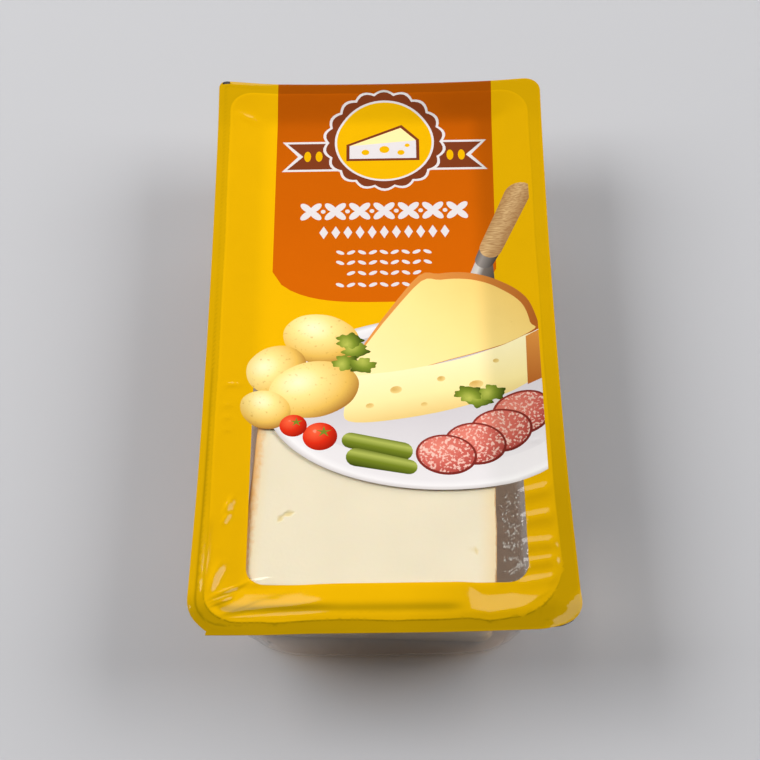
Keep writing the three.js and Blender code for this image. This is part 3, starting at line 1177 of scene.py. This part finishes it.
def badge_shapes():
    """A scalloped seal with a wedge of cheese on a ribbon."""
    cx, cy = BADGE
    shapes = []
    for grow, name in ((0.8, "white"), (0.0, "brown")):
        half, tall, notch = 30.6 + grow, 5.2 + grow, 5.0
        y = cy - 5.5
        ribbon = [
            (cx - half - grow, y - tall), (cx + half + grow, y - tall),
            (cx + half - notch + grow, y), (cx + half + grow, y + tall),
            (cx - half - grow, y + tall), (cx - half + notch - grow, y),
        ]
        shapes.append((ribbon, name, FLAT))
    for side in (-1, 1):
        for i in range(2):
            x = cx + side * (20.6 + i * 3.6)
            shapes.append((ellipse(x, cy - 5.5, 1.1, 2.1, 0, 14), "yellow_light", FLAT))
    shapes += [
        (scalloped(cx, cy, 18.3, 1.3), "white", FLAT),
        (scalloped(cx, cy, 17.4, 1.3), "brown", FLAT),
        (ellipse(cx, cy, 15.7, 15.7, 0, 64), "white", FLAT),
        (ellipse(cx, cy, 15.0, 15.0, 0, 64), "yellow_light", FLAT),
    ]
    x, y = cx - 0.4, cy - 1.0
    wedge_side = [
        (x - 10.6, y - 5.6), (x + 10.4, y - 5.6), (x + 10.4, y + 1.6), (x - 10.6, y - 0.4),
    ]
    wedge_top = [(x - 10.6, y - 0.4), (x + 10.4, y + 1.6), (x + 5.6, y + 6.8)]
    outline = [
        (x - 11.6, y - 6.5), (x + 11.4, y - 6.5), (x + 11.4, y + 1.9), (x + 5.9, y + 8.0),
        (x - 11.6, y + 0.1),
    ]
    shapes += [
        (outline, "brown", FLAT),
        (wedge_side, "white", FLAT),
        (wedge_top, "cream_light", FLAT),
    ]
    for ex, ey, r in ((-5.6, -3.1, 1.25), (0.4, -2.0, 1.6), (5.6, -3.3, 1.15), (7.6, -0.4, 0.8)):
        shapes.append((ellipse(x + ex, y + ey, r, r * 0.9, 0, 16), "yellow_light", FLAT))
    return shapes


def food_shapes():
    """A dish with a wedge of cheese, potatoes, sliced sausage, gherkins and tomatoes."""
    d = DISH
    dish = clipped(ellipse(d["cx"], d["cy"], d["rx"], d["ry"], 0, 96), PICTURE_RIGHT)
    well = clipped(ellipse(d["cx"], d["cy"] + 2.2, 44.0, 22.5, 0, 80), PICTURE_RIGHT)
    shapes = [
        (dish, "dish", from_centre(d["cx"], d["cy"], d["rx"], d["ry"], 0, (0, 0))),
        (well, "dish_well", along_line(0, -48, 0, 0)),
    ]
    # The knife behind the wedge
    blade = [(20.4, 2.0), (29.5, 25.6), (33.6, 23.2), (34.0, 14.0), (27.0, -2.0)]
    handle = clipped(capsule(33.2, 27.6, 42.6, 47.0, 3.4, 4.6, 10), PICTURE_RIGHT)
    shapes += [
        (blade, "steel", along_line(22, 16, 33, 12)),
        (capsule(31.2, 23.2, 32.6, 26.2, 2.9, 3.1), "iron", along_line(28, 26, 35, 23)),
        (handle, "wood", along_line(32.5, 39.5, 42.5, 34.5)),
    ]
    # The wedge: its back is rind, its top slopes to the point at the left
    arc = [(9.0, 15.4), (17.5, 18.6), (27.0, 18.6), (36.0, 15.2), (42.6, 8.6), (45.4, 0.4)]
    rind = blob([(-9.6, -18.4), *arc, (45.6, -3.4), (20.0, -12.0)], 5)
    top = blob([(-9.6, -18.4), (9.6, 13.4), (17.9, 16.3), (27.0, 16.2), (35.0, 13.0),
                (41.2, 6.8), (43.4, -0.6), (43.0, -4.0), (20.0, -11.8)], 5)
    side = blob([(-10.4, -18.2), (6.0, -15.4), (24.0, -11.4), (44.4, -4.0), (45.0, -8.0),
                 (44.6, -19.0), (24.0, -27.5), (4.0, -31.8), (-9.6, -32.2), (-10.6, -26.0)], 5)
    side_rind = [(41.9, -5.2), (45.6, -3.6), (45.6, -20.2), (41.6, -21.6)]
    shapes += [
        (clipped(rind, PICTURE_RIGHT), "rind_print", along_line(0, 20, 45, 0)),
        (clipped(top, PICTURE_RIGHT), "cheese_top", along_line(-8, -20, 30, 18)),
        (clipped(side, PICTURE_RIGHT), "cheese_side", along_line(0, -12, 4, -34)),
        (side_rind, "rind_print", along_line(45.6, 0, 41, -22)),
    ]
    for ex, ey, rx, ry in ((4, -22, 1.7, 1.2), (17, -18.5, 1.2, 0.9), (27, -20.5, 2.1, 1.3),
                           (33, -12.6, 0.9, 0.7), (12, -27, 1.0, 0.7), (-3.5, -27.2, 1.2, 0.8)):
        shapes.append((ellipse(ex, ey, rx, ry, 12, 16), "eye_print", from_centre(ex, ey, rx, ry)))
    # Potatoes at the left
    for cx, cy, rx, ry, turn in (
        (-17.5, -4.4, 11.6, 8.6, -18),
        (-30.4, -14.6, 9.0, 8.0, 30),
        (-19.6, -21.4, 13.2, 9.4, 12),
        (-33.2, -28.0, 7.4, 6.2, -24),
    ):
        shape = blob(ellipse(cx, cy, rx, ry, turn, 8))
        shapes.append((shape, "potato", from_centre(cx, cy, rx, ry, turn)))
    # Parsley between them
    for cx, cy, turn in (
        (-7.6, -8.4, 20), (-10.4, -12.6, 80), (-5.6, -13.6, -30), (-9.4, -5.0, 110),
        (27.6, -25.6, 10), (31.4, -23.4, 60), (24.6, -23.6, 150),
    ):
        leaf = []
        for i in range(36):
            t = 2 * math.pi * i / 36
            r = 2.5 + 1.0 * abs(math.sin(2.5 * t)) + 0.35 * math.sin(9 * t)
            a = t + math.radians(turn)
            leaf.append((cx + r * 1.2 * math.cos(a), cy + r * 0.8 * math.sin(a)))
        shapes.append((leaf, "parsley", from_centre(cx, cy, 4.0, 3.0, turn, (-0.2, 0.4))))
    # Sausage slices fanned at the near right
    for cx, cy, rx, ry, turn in (
        (39.6, -30.6, 8.6, 7.2, 10),
        (33.4, -35.8, 8.8, 7.0, 4),
        (26.0, -40.0, 8.8, 6.8, -4),
        (17.8, -43.4, 8.6, 6.4, -8),
    ):
        outer = clipped(ellipse(cx, cy, rx, ry, turn, 40), PICTURE_RIGHT)
        inner = clipped(ellipse(cx, cy + 0.1, rx - 0.7, ry - 0.7, turn, 40), PICTURE_RIGHT - 0.01)
        shapes += [
            (outer, "sausage_skin", from_centre(cx, cy, rx, ry, turn)),
            (inner, "sausage", from_centre(cx, cy, rx, ry, turn)),
        ]
    # Gherkins and small tomatoes
    for x0, y0, x1, y1, r0, r1 in (
        (-9.0, -38.4, 5.6, -42.2, 2.5, 2.9),
        (-7.4, -43.8, 7.4, -47.2, 2.9, 2.3),
    ):
        across = along_line(
            (x0 + x1) / 2 - 0.7, (y0 + y1) / 2 - 2.9, (x0 + x1) / 2 + 0.7, (y0 + y1) / 2 + 2.9
        )
        shapes.append((capsule(x0, y0, x1, y1, r0, r1), "gherkin", across))
    for cx, cy, r in ((-17.6, -37.0, 4.9), (-25.2, -33.4, 3.9)):
        shapes.append((ellipse(cx, cy, r, r * 0.92, 0, 36), "tomato", from_centre(cx, cy, r, r)))
        star = []
        for i in range(10):
            t = 2 * math.pi * i / 10 + 0.3
            reach = (0.48 if i % 2 == 0 else 0.14) * r
            tip = cy + 0.30 * r + 0.8 * reach * math.sin(t)
            star.append((cx + 0.22 * r + reach * math.cos(t), tip))
        shapes.append((star, "parsley", flat_tone(0.6)))
    return shapes


def sunk(x, y, back=False):
    """Places laid out level with the flange, as they lie on the film that has sunk below it."""
    share = 1 / SINK_SPREAD if back else SINK_SPREAD
    return SINK_X + (x - SINK_X) * share, SINK_Y + (y - SINK_Y) * share


def artwork():
    """Every shape on the lid in painting order: outline, ink, tone."""
    shapes = [
        (panel_shape(), "orange", along_line(0, 92, 0, 16)),
        *ornament_shapes(),
        *badge_shapes(),
        (window_shape(), "clear", FLAT),
        *food_shapes(),
    ]
    sunken = [([sunk(x, y) for x, y in outline], *rest) for outline, *rest in shapes]
    # A small dark mark at the far left corner of the film, drawn in the bolster's dark ink
    mark = [(-51.0, 94.5), (-48.4, 94.8), (-48.8, 97.0), (-50.4, 97.0)]
    return [*sunken, (mark, "iron", FLAT)]


def srgb(red, green, blue):
    """An 8-bit screen colour as linear light."""

    def linear(v):
        v /= 255
        return v / 12.92 if v <= 0.04045 else ((v + 0.055) / 1.055) ** 2.4

    return tuple(linear(v) for v in (red, green, blue))


# The drawn food's inks: material and, along a shape's tone, its shades as 8-bit screen colours
PRINTED_INKS = {
    "dish": ("Printed dish", [
        (0.0, (212, 206, 206)), (0.90, (224, 219, 219)), (0.955, (233, 229, 228)),
        (1.0, (198, 191, 188)),
    ]),
    "dish_well": ("Printed dish well", [
        (0.0, (221, 216, 216)), (0.35, (206, 200, 202)), (1.0, (186, 178, 180)),
    ]),
    "steel": ("Printed steel", [
        (0.0, (140, 130, 122)), (0.45, (206, 198, 190)), (0.6, (120, 108, 100)),
        (1.0, (70, 58, 52)),
    ]),
    "iron": ("Printed bolster", [(0.0, (60, 46, 42)), (0.4, (150, 140, 134)), (1.0, (40, 30, 28))]),
    "rind_print": ("Printed rind", [(0.0, (226, 150, 70)), (1.0, (176, 96, 38))]),
    "cheese_top": ("Printed cheese top", [
        (0.0, (252, 230, 168)), (0.6, (250, 220, 140)), (1.0, (240, 200, 112)),
    ]),
    "cheese_side": ("Printed cheese side", [
        (0.0, (253, 238, 190)), (0.6, (248, 226, 158)), (1.0, (222, 184, 104)),
    ]),
    "eye_print": ("Printed cheese eye", [(0.0, (198, 150, 66)), (1.0, (238, 208, 132))]),
    "gherkin": ("Printed gherkin", [
        (0.0, (52, 64, 14)), (0.45, (112, 126, 34)), (0.72, (170, 178, 84)), (1.0, (92, 104, 30)),
    ]),
    "tomato": ("Printed tomato", [
        (0.0, (255, 196, 170)), (0.10, (238, 92, 56)), (0.55, (212, 44, 20)), (1.0, (140, 20, 10)),
    ]),
    "sausage_skin": ("Printed sausage edge", [(0.0, (150, 60, 50)), (1.0, (118, 40, 34))]),
    "potato": ("Printed potato", [
        (0.0, (255, 244, 196)), (0.35, (248, 220, 138)), (0.75, (226, 180, 84)),
        (1.0, (160, 108, 44)),
    ]),
    "parsley": ("Printed parsley", [
        (0.0, (186, 190, 84)), (0.5, (124, 140, 44)), (1.0, (64, 80, 20)),
    ]),
    "sausage": ("Printed sausage", [
        (0.0, (226, 130, 112)), (0.6, (202, 96, 84)), (1.0, (160, 60, 54)),
    ]),
    "wood": ("Printed wood", [
        (0.0, (168, 114, 60)), (0.4, (226, 184, 130)), (1.0, (150, 98, 50)),
    ]),
}
INK_EXTRAS = {
    "dish": {"dimmed": 0.35},
    "dish_well": {"dimmed": 0.35},
    "potato": {"speckle": (900.0, 0.62, 0.80, srgb(190, 140, 60))},
    "sausage": {"speckle": (1150.0, 0.52, 0.60, srgb(242, 200, 184))},
    "wood": {"streaks": (2600.0, math.radians(-64), srgb(150, 98, 54), 0.55)},
}


def inks(colours):
    """The material of each ink, by name."""
    flat = {
        "yellow": ("Yellow ink", colours.yellow),
        "brown": ("Brown ink", colours.brown),
        "white": ("White ink", colours.white),
        "yellow_light": ("Badge yellow ink", scaled(colours.yellow, 0.98)),
        "cream_light": ("Cream ink", srgb(250, 226, 160)),
    }
    made = {k: ink(name, [(0, scaled(c, 0.97)), (1, c)]) for k, (name, c) in flat.items()}
    orange = [(0.0, 0.84), (0.10, 0.82), (0.42, 0.98), (1.0, 1.10)]
    made["orange"] = ink("Orange ink", [(at, scaled(colours.orange, f)) for at, f in orange])
    for key, (name, stops) in PRINTED_INKS.items():
        shades = [(place, srgb(*shade)) for place, shade in stops]
        made[key] = ink(name, shades, **INK_EXTRAS.get(key, {}))
    return made


# The film


def painted_shading_level(x, y, sizes, slices):
    """Painted light and shade on the print: 1 over the cheese, darker over the gap and the flange,
    where no lit cheese shows through.
    """
    u, v = relax(x, y, sizes)
    inside = seal_depth(u, v)
    half_x = mm(slices.width) / 2
    reach = mm(slices.stack_reach) + mm(slices.length) / 2
    middle = mm(slices.left_offset)
    over = box_depth(x, y, middle - half_x, middle + half_x, -reach, reach, (4, 4, 4, 4))
    cover = ease((over + 2.0) / 7.0)
    nearness = ease((10 - y) / 75)
    right = ease(x / 30)
    left = ease((-x - 36) / 8)
    # Painted shade: the flange is dimmer towards the near end and the right, and the ribs are edged
    # with painted shade
    flange = 0.73 - 0.04 * right - 0.16 * nearness - 0.08 * ease((-86 - y) / 5)
    flange = flange - 0.05 * ease((y - 70) / 20)
    # Painted light: the near part of the left flange is lighter
    flange = flange + 0.17 * left * nearness * ease((y + 90) / 8)
    out_x, out_y = mm(sizes.width) / 2, mm(sizes.length) / 2
    edge = box_depth(u, v, -out_x, out_x, -out_y, out_y, FLANGE_RADII)
    groove_shade = np.exp(-(((edge - 2.15) / 0.30) ** 2)) + 0.3 * np.exp(-(((edge - 0.5) / 0.2) ** 2))
    flange = flange * (1 - 0.34 * rib_strength(u, v) * groove_shade)
    # Painted highlight along the right flange's outer edge
    flange = flange + 0.06 * right * ease((0.9 - edge) / 0.5)
    gap = 0.92 - 0.05 * nearness - 0.16 * right
    # Painted shade: with nothing under it, the film by the near wall is darkest
    hollow_shade = np.exp(-(((y + 88.9) / 1.5) ** 2)) * ease((inside - 1.2) / 2) * ease((24 - x) / 8)
    gap = gap * (1 - 0.40 * hollow_shade) * (1 - 0.12 * ease((-89 - y) / 3))
    level = gap + (1.0 - gap) * cover
    # Painted shade along the seal's inner edge, darkest at the near end
    line = np.exp(-(((inside + 0.10) / 0.18) ** 2))
    seal_shade = 1 - (0.08 + 0.42 * ease((-80 - y) / 12)) * line
    level = (flange + (level - flange) * ease((inside + 0.25) / 0.5)) * seal_shade
    for *fold, depth in VALLEYS:
        level = level * (1 - fold_height(x, y, (*fold, depth)))
    return level


# Rings of the film's mesh: how far inside the flange's edge, and inside the seal's edge
FLANGE_RINGS = (0.9, 1.35, 1.75, 2.15, 2.7, 3.1, 3.5)
SEAL_RINGS = (-0.6, -0.35, -0.1, 0.15, 0.4, 0.65, 0.95, 1.4, 2.0, 2.7)
# Grids of the film's mesh: left, right, near, far, step, seed and most stray of their places
FILM_GRIDS = [
    # all of the sunk film, and more finely its near end
    (MOUTH["left"] + 3.4, MOUTH["right"] - 3.2, MOUTH["near"] + 3.4, MOUTH["far"] - 3.2,
     1.15, 3, 0.04),
    (MOUTH["left"] + 3.0, MOUTH["right"] - 3.0, MOUTH["near"] + 3.0, MOUTH["near"] + 14.0,
     0.6, 4, 0.03),
    # the pleats at the near left corner
    (-47.2, -33, -91.8, -79.5, 0.34, 6, 0.02),
    # beside the left and the right seal
    (MOUTH["left"] + 3.0, MOUTH["left"] + 12, MOUTH["near"] + 14.5, -14, 0.6, 5, 0.03),
    (38.2, MOUTH["right"] - 3.0, MOUTH["near"] + 14.5, -14, 0.6, 5, 0.03),
]
LEAST_RADIUS = 0.8  # of a ring's corners


def film_triangles(sizes):
    """Cuts the lid's plan along the seal, the folds' slopes and every printed outline.

    Returns the places in plan and, for each triangle, its corners and its shape's number,
    with -1 for the yellow ground."""
    half_x, half_y = mm(sizes.width) / 2, mm(sizes.length) / 2
    points, loops = [], []

    def add_loop(outline):
        start = len(points)
        outline = finer(outline)
        points.extend(outline)
        loops.append(list(range(start, start + len(outline))))

    edge = film_outline(half_x, half_y)
    add_loop([tuple(pull(np.array(x), np.array(y), sizes)) for x, y in edge])
    shapes = artwork()
    for outline, _, _ in shapes:
        add_loop(outline)

    def add_points(x, y):
        px, py = pull(np.array(x), np.array(y), sizes)
        points.extend(zip(px.tolist(), py.tolist()))

    def add_rings(left, right, near, far, radii, insets, corner_steps, side_step):
        for inset in insets:
            inner = [max(r - inset, LEAST_RADIUS) for r in radii]
            ring = box_outline(
                left + inset, right - inset, near + inset, far - inset, inner,
                corner_steps, side_step,
            )
            add_points(*np.array(ring).T)

    add_rings(-half_x, half_x, -half_y, half_y, FLANGE_RADII, FLANGE_RINGS, 6, 1.6)
    add_rings(*MOUTH.values(), MOUTH_RADII, SEAL_RINGS, 12, 1.1)
    for left, right, near, far, step, seed, stray in FILM_GRIDS:
        gx, gy = np.meshgrid(np.arange(left, right, step), np.arange(near, far, step))
        jitter = np.random.default_rng(seed).uniform(-stray, stray, (2, gx.size))
        add_points(gx.ravel() + jitter[0], gy.ravel() + jitter[1])

    places, _, faces, _, _, origins = delaunay_2d_cdt(
        [Vector(p) for p in points], [], loops, 0, 1e-4, True
    )
    triangles = []
    for corners, within in zip(faces, origins):
        if 0 not in within:
            continue
        triangles.append((corners, max(within) - 1))
    return np.array([tuple(p) for p in places]), triangles, shapes


def film_sheet(name, places, heights, triangles, thickness):
    """A closed sheet from triangles in plan: its upper face, its underside and its cut edges."""
    used = sorted({i for corners, _ in triangles for i in corners})
    number = {old: new for new, old in enumerate(used)}
    count = len(used)
    upper = np.column_stack([places[used], heights[used]]) * MM
    lower = upper - np.array([0, 0, thickness])
    faces, sources, edges = [], [], {}
    for corners, shape in triangles:
        a, b, c = (number[i] for i in corners)
        pa, pb, pc = upper[a], upper[b], upper[c]
        turn = (pb[0] - pa[0]) * (pc[1] - pa[1]) - (pb[1] - pa[1]) * (pc[0] - pa[0])
        if turn < 0:
            b, c = c, b
        faces += [(a, b, c), (c + count, b + count, a + count)]
        sources += [shape, shape]
        for p, q in ((a, b), (b, c), (c, a)):
            edges[(p, q)] = shape
    for (p, q), shape in edges.items():
        if (q, p) not in edges:
            faces.append((q, p, p + count, q + count))
            sources.append(shape)
    mesh = bpy.data.meshes.new(name)
    mesh.from_pydata(np.vstack([upper, lower]).tolist(), [], faces)
    mesh.update()
    piece = bpy.data.objects.new(name, mesh)
    bpy.context.scene.collection.objects.link(piece)
    return piece, sources


def paint(piece, sources, shapes, materials, sizes, slices):
    """Gives each face its ink, and its corners their tone and painted shading."""
    mesh = piece.data
    names = list(materials)
    for name in names:
        mesh.materials.append(materials[name])
    ink_of = [names.index("yellow" if s < 0 else shapes[s][1]) for s in sources]
    mesh.polygons.foreach_set("material_index", ink_of)
    corners = np.zeros(len(mesh.loops), dtype=int)
    mesh.loops.foreach_get("vertex_index", corners)
    co = np.array([v.co for v in mesh.vertices])[:, :2] / MM
    totals = np.array([p.loop_total for p in mesh.polygons])
    shape_of_loop = np.repeat(np.array(sources), totals)
    tone = np.ones(len(corners))
    for k, (_, _, tone_at) in enumerate(shapes):
        mine = shape_of_loop == k
        if mine.any():
            at = co[corners[mine]]
            tone[mine] = tone_at(*sunk(at[:, 0], at[:, 1], back=True))
    mesh.attributes.new("tone", "FLOAT", "CORNER").data.foreach_set("value", tone)
    level = painted_shading_level(co[:, 0], co[:, 1], sizes, slices)
    mesh.attributes.new("painted_shading", "FLOAT", "POINT").data.foreach_set("value", level)


class CHEESEPACK_OT_lid(bpy.types.Operator):
    """Make the film lid: its print and its clear window, cut along the artwork's outlines"""

    bl_idname = "cheesepack.lid"
    bl_label = "Film lid"

    def execute(self, context):
        scene = context.scene
        sizes, slices = scene.cheese_pack_sizes, scene.cheese_slice_sizes
        places, triangles, shapes = film_triangles(sizes)
        heights = film_height(places[:, 0], places[:, 1], sizes)
        clear = {k for k, shape in enumerate(shapes) if shape[1] == "clear"}
        printed = [t for t in triangles if t[1] not in clear]
        window = [t for t in triangles if t[1] in clear]
        made = inks(scene.cheese_pack_colours)
        lid, sources = film_sheet("printed_film", places, heights, printed, sizes.film_thickness)
        paint(lid, sources, shapes, made, sizes, slices)
        smooth(lid, 60)
        pane, _ = film_sheet("window_film", places, heights, window, sizes.film_thickness)
        pane.data.materials.append(
            clear_plastic("Clear window film", (0.97, 0.97, 0.96), 0.05, WINDOW_RIPPLE)
        )
        smooth(pane, 60)
        for piece in (lid, pane):
            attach(piece, "root")
            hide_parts("lid_film")
        return {"FINISHED"}


FLECK_SEED = 5
# Where flecks lie under the window: x, y, spread across, spread along, count
FLECK_PATCHES = [
    (34.4, -57.0, 0.5, 1.2, 8),
    (36.6, -57.6, 0.4, 1.0, 8),
    (34.0, -63.6, 1.4, 2.0, 30),
    (35.6, -67.6, 1.2, 1.6, 26),
    (34.6, -72.0, 2.0, 0.6, 34),
    (34.0, -75.6, 1.4, 0.4, 14),
    (36.2, -77.6, 0.9, 0.9, 26),
    (34.0, -79.4, 0.9, 0.5, 10),
]
FLECK_SPAN = (32.4, 37.8)  # how far left and right they reach
FLECK_DEPTH, FLECK_HALF_HEIGHT = 0.06, 0.045  # below the film, and of each


class CHEESEPACK_OT_flecks(bpy.types.Operator):
    """Make the pale flecks that stick to the window's underside beside the slices"""

    bl_idname = "cheesepack.flecks"
    bl_label = "Flecks under the window"

    def execute(self, context):
        sizes = context.scene.cheese_pack_sizes
        draw = np.random.default_rng(FLECK_SEED)
        deselect()
        bpy.ops.mesh.primitive_ico_sphere_add(subdivisions=1, radius=1, location=(0, 0, 0))
        piece = context.active_object
        piece.name = "window_flecks"
        ball = np.array([v.co for v in piece.data.vertices])
        ball_faces = np.array([tuple(p.vertices) for p in piece.data.polygons])
        verts, faces = [], []
        for cx, cy, across, along, count in FLECK_PATCHES:
            for _ in range(count):
                x = min(max(draw.normal(cx, across), FLECK_SPAN[0]), FLECK_SPAN[1])
                y = draw.normal(cy, along)
                long, wide = draw.uniform(0.18, 0.60), draw.uniform(0.06, 0.13)
                turn = draw.normal(math.radians(75), 0.5)
                c, s = math.cos(turn), math.sin(turn)
                px, py = ball[:, 0] * long, ball[:, 1] * wide
                fx, fy = sunk(x + px * c - py * s, y + px * s + py * c)
                under = film_height(np.array([fx.mean()]), np.array([fy.mean()]), sizes)[0]
                top = under - mm(sizes.film_thickness)
                fz = top - FLECK_DEPTH + ball[:, 2] * FLECK_HALF_HEIGHT
                faces.append(ball_faces + sum(len(v) for v in verts))
                verts.append(np.column_stack([fx, fy, fz]))
        mesh = bpy.data.meshes.new("window_flecks")
        mesh.from_pydata((np.vstack(verts) * MM).tolist(), [], np.vstack(faces).tolist())
        piece.data = mesh
        mesh.update()
        smooth(piece, 80)
        mesh.materials.append(plain_material("Pale flecks", (0.62, 0.60, 0.57), 0.4))
        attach(piece, "root")
        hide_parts("lid_film")
        return {"FINISHED"}


# The stage


# Soft lights: name, place, what they point at, width, height, watts
LIGHTS = [
    ("left", (-1.24, 0.18, 1.16), (0, 0, 0), 1.0, 1.0, 28),
    ("right", (1.27, 0.18, 1.12), (0, 0, 0), 1.0, 1.0, 20.5),
    ("far", (0.0, 1.44, 0.88), (0, 0, 0.03), 2.3, 0.54, 13),
]
ROOM_LIGHT = 0.045
FLOOR_SIZE = 8


def soft_light(name, location, aim, width, height, watts):
    data = bpy.data.lights.new(name, "AREA")
    data.shape = "RECTANGLE"
    data.size, data.size_y = width, height
    data.energy = watts
    lamp = bpy.data.objects.new(name, data)
    bpy.context.scene.collection.objects.link(lamp)
    lamp.location = location
    lamp.rotation_euler = (Vector(aim) - Vector(location)).to_track_quat("-Z", "Y").to_euler()


class CHEESEPACK_OT_stage(bpy.types.Operator):
    """Make the pale floor, the soft lights and the camera"""

    bl_idname = "cheesepack.stage"
    bl_label = "Floor, lights and camera"

    def execute(self, context):
        scene = context.scene
        stage = scene.cheese_pack_stage
        deselect()
        bpy.ops.mesh.primitive_plane_add(size=FLOOR_SIZE, location=(0, 0, 0))
        floor = context.active_object
        floor.name = "floor"
        floor.data.materials.append(plain_material("Plain pale floor", stage.floor, 0.6))

        for light in LIGHTS:
            soft_light(*light)
        world = bpy.data.worlds.new("Soft room")
        world.use_nodes = True
        background = world.node_tree.nodes["Background"]
        background.inputs["Color"].default_value = (1, 1, 1, 1)
        background.inputs["Strength"].default_value = ROOM_LIGHT
        scene.world = world
        scene.view_settings.view_transform = "Standard"

        azimuth, elevation = stage.camera_turn, stage.camera_height
        level = math.cos(elevation)
        back = Vector((math.sin(azimuth) * level, -math.cos(azimuth) * level, math.sin(elevation)))
        right = (-back).cross(Vector((0, 0, 1))).normalized()
        up = right.cross(-back)
        c, s = math.cos(stage.camera_roll), math.sin(stage.camera_roll)
        turned_right, turned_up = right * c + up * s, up * c - right * s
        camera_data = bpy.data.cameras.new("camera")
        camera_data.lens = stage.lens
        camera_data.sensor_width = 36
        camera_data.clip_start = 0.01
        camera = bpy.data.objects.new("camera", camera_data)
        scene.collection.objects.link(camera)
        camera.matrix_world = Matrix.Translation(
            Vector(stage.camera_target) + back * stage.camera_distance
        ) @ Matrix((turned_right, turned_up, back)).transposed().to_4x4()
        scene.camera = camera
        return {"FINISHED"}


class CHEESEPACK_PT_panel(bpy.types.Panel):
    bl_idname = "CHEESEPACK_PT_panel"
    bl_label = "Pack of sliced cheese"
    bl_space_type = "VIEW_3D"
    bl_region_type = "UI"
    bl_category = "Cheese pack"

    def draw(self, context):
        layout = self.layout
        for operator in OPERATORS:
            layout.operator(operator.bl_idname)
        for group in GROUPS:
            settings = getattr(context.scene, GROUPS[group])
            for name in group.__annotations__:
                layout.prop(settings, name)


OPERATORS = (
    CHEESEPACK_OT_tray,
    CHEESEPACK_OT_slices,
    CHEESEPACK_OT_lid,
    CHEESEPACK_OT_flecks,
    CHEESEPACK_OT_stage,
)
GROUPS = {
    PackSizes: "cheese_pack_sizes",
    SliceSizes: "cheese_slice_sizes",
    PackColours: "cheese_pack_colours",
    StageSettings: "cheese_pack_stage",
}


def register():
    for cls in (*GROUPS, *OPERATORS, CHEESEPACK_PT_panel):
        bpy.utils.register_class(cls)
    for group, name in GROUPS.items():
        setattr(bpy.types.Scene, name, bpy.props.PointerProperty(type=group))


def unregister():
    for name in GROUPS.values():
        delattr(bpy.types.Scene, name)
    for cls in reversed((*GROUPS, *OPERATORS, CHEESEPACK_PT_panel)):
        bpy.utils.unregister_class(cls)


def main():
    register()
    for operator in OPERATORS:
        group, name = operator.bl_idname.split(".")
        getattr(getattr(bpy.ops, group), name)()


if __name__ == "__main__":
    main()
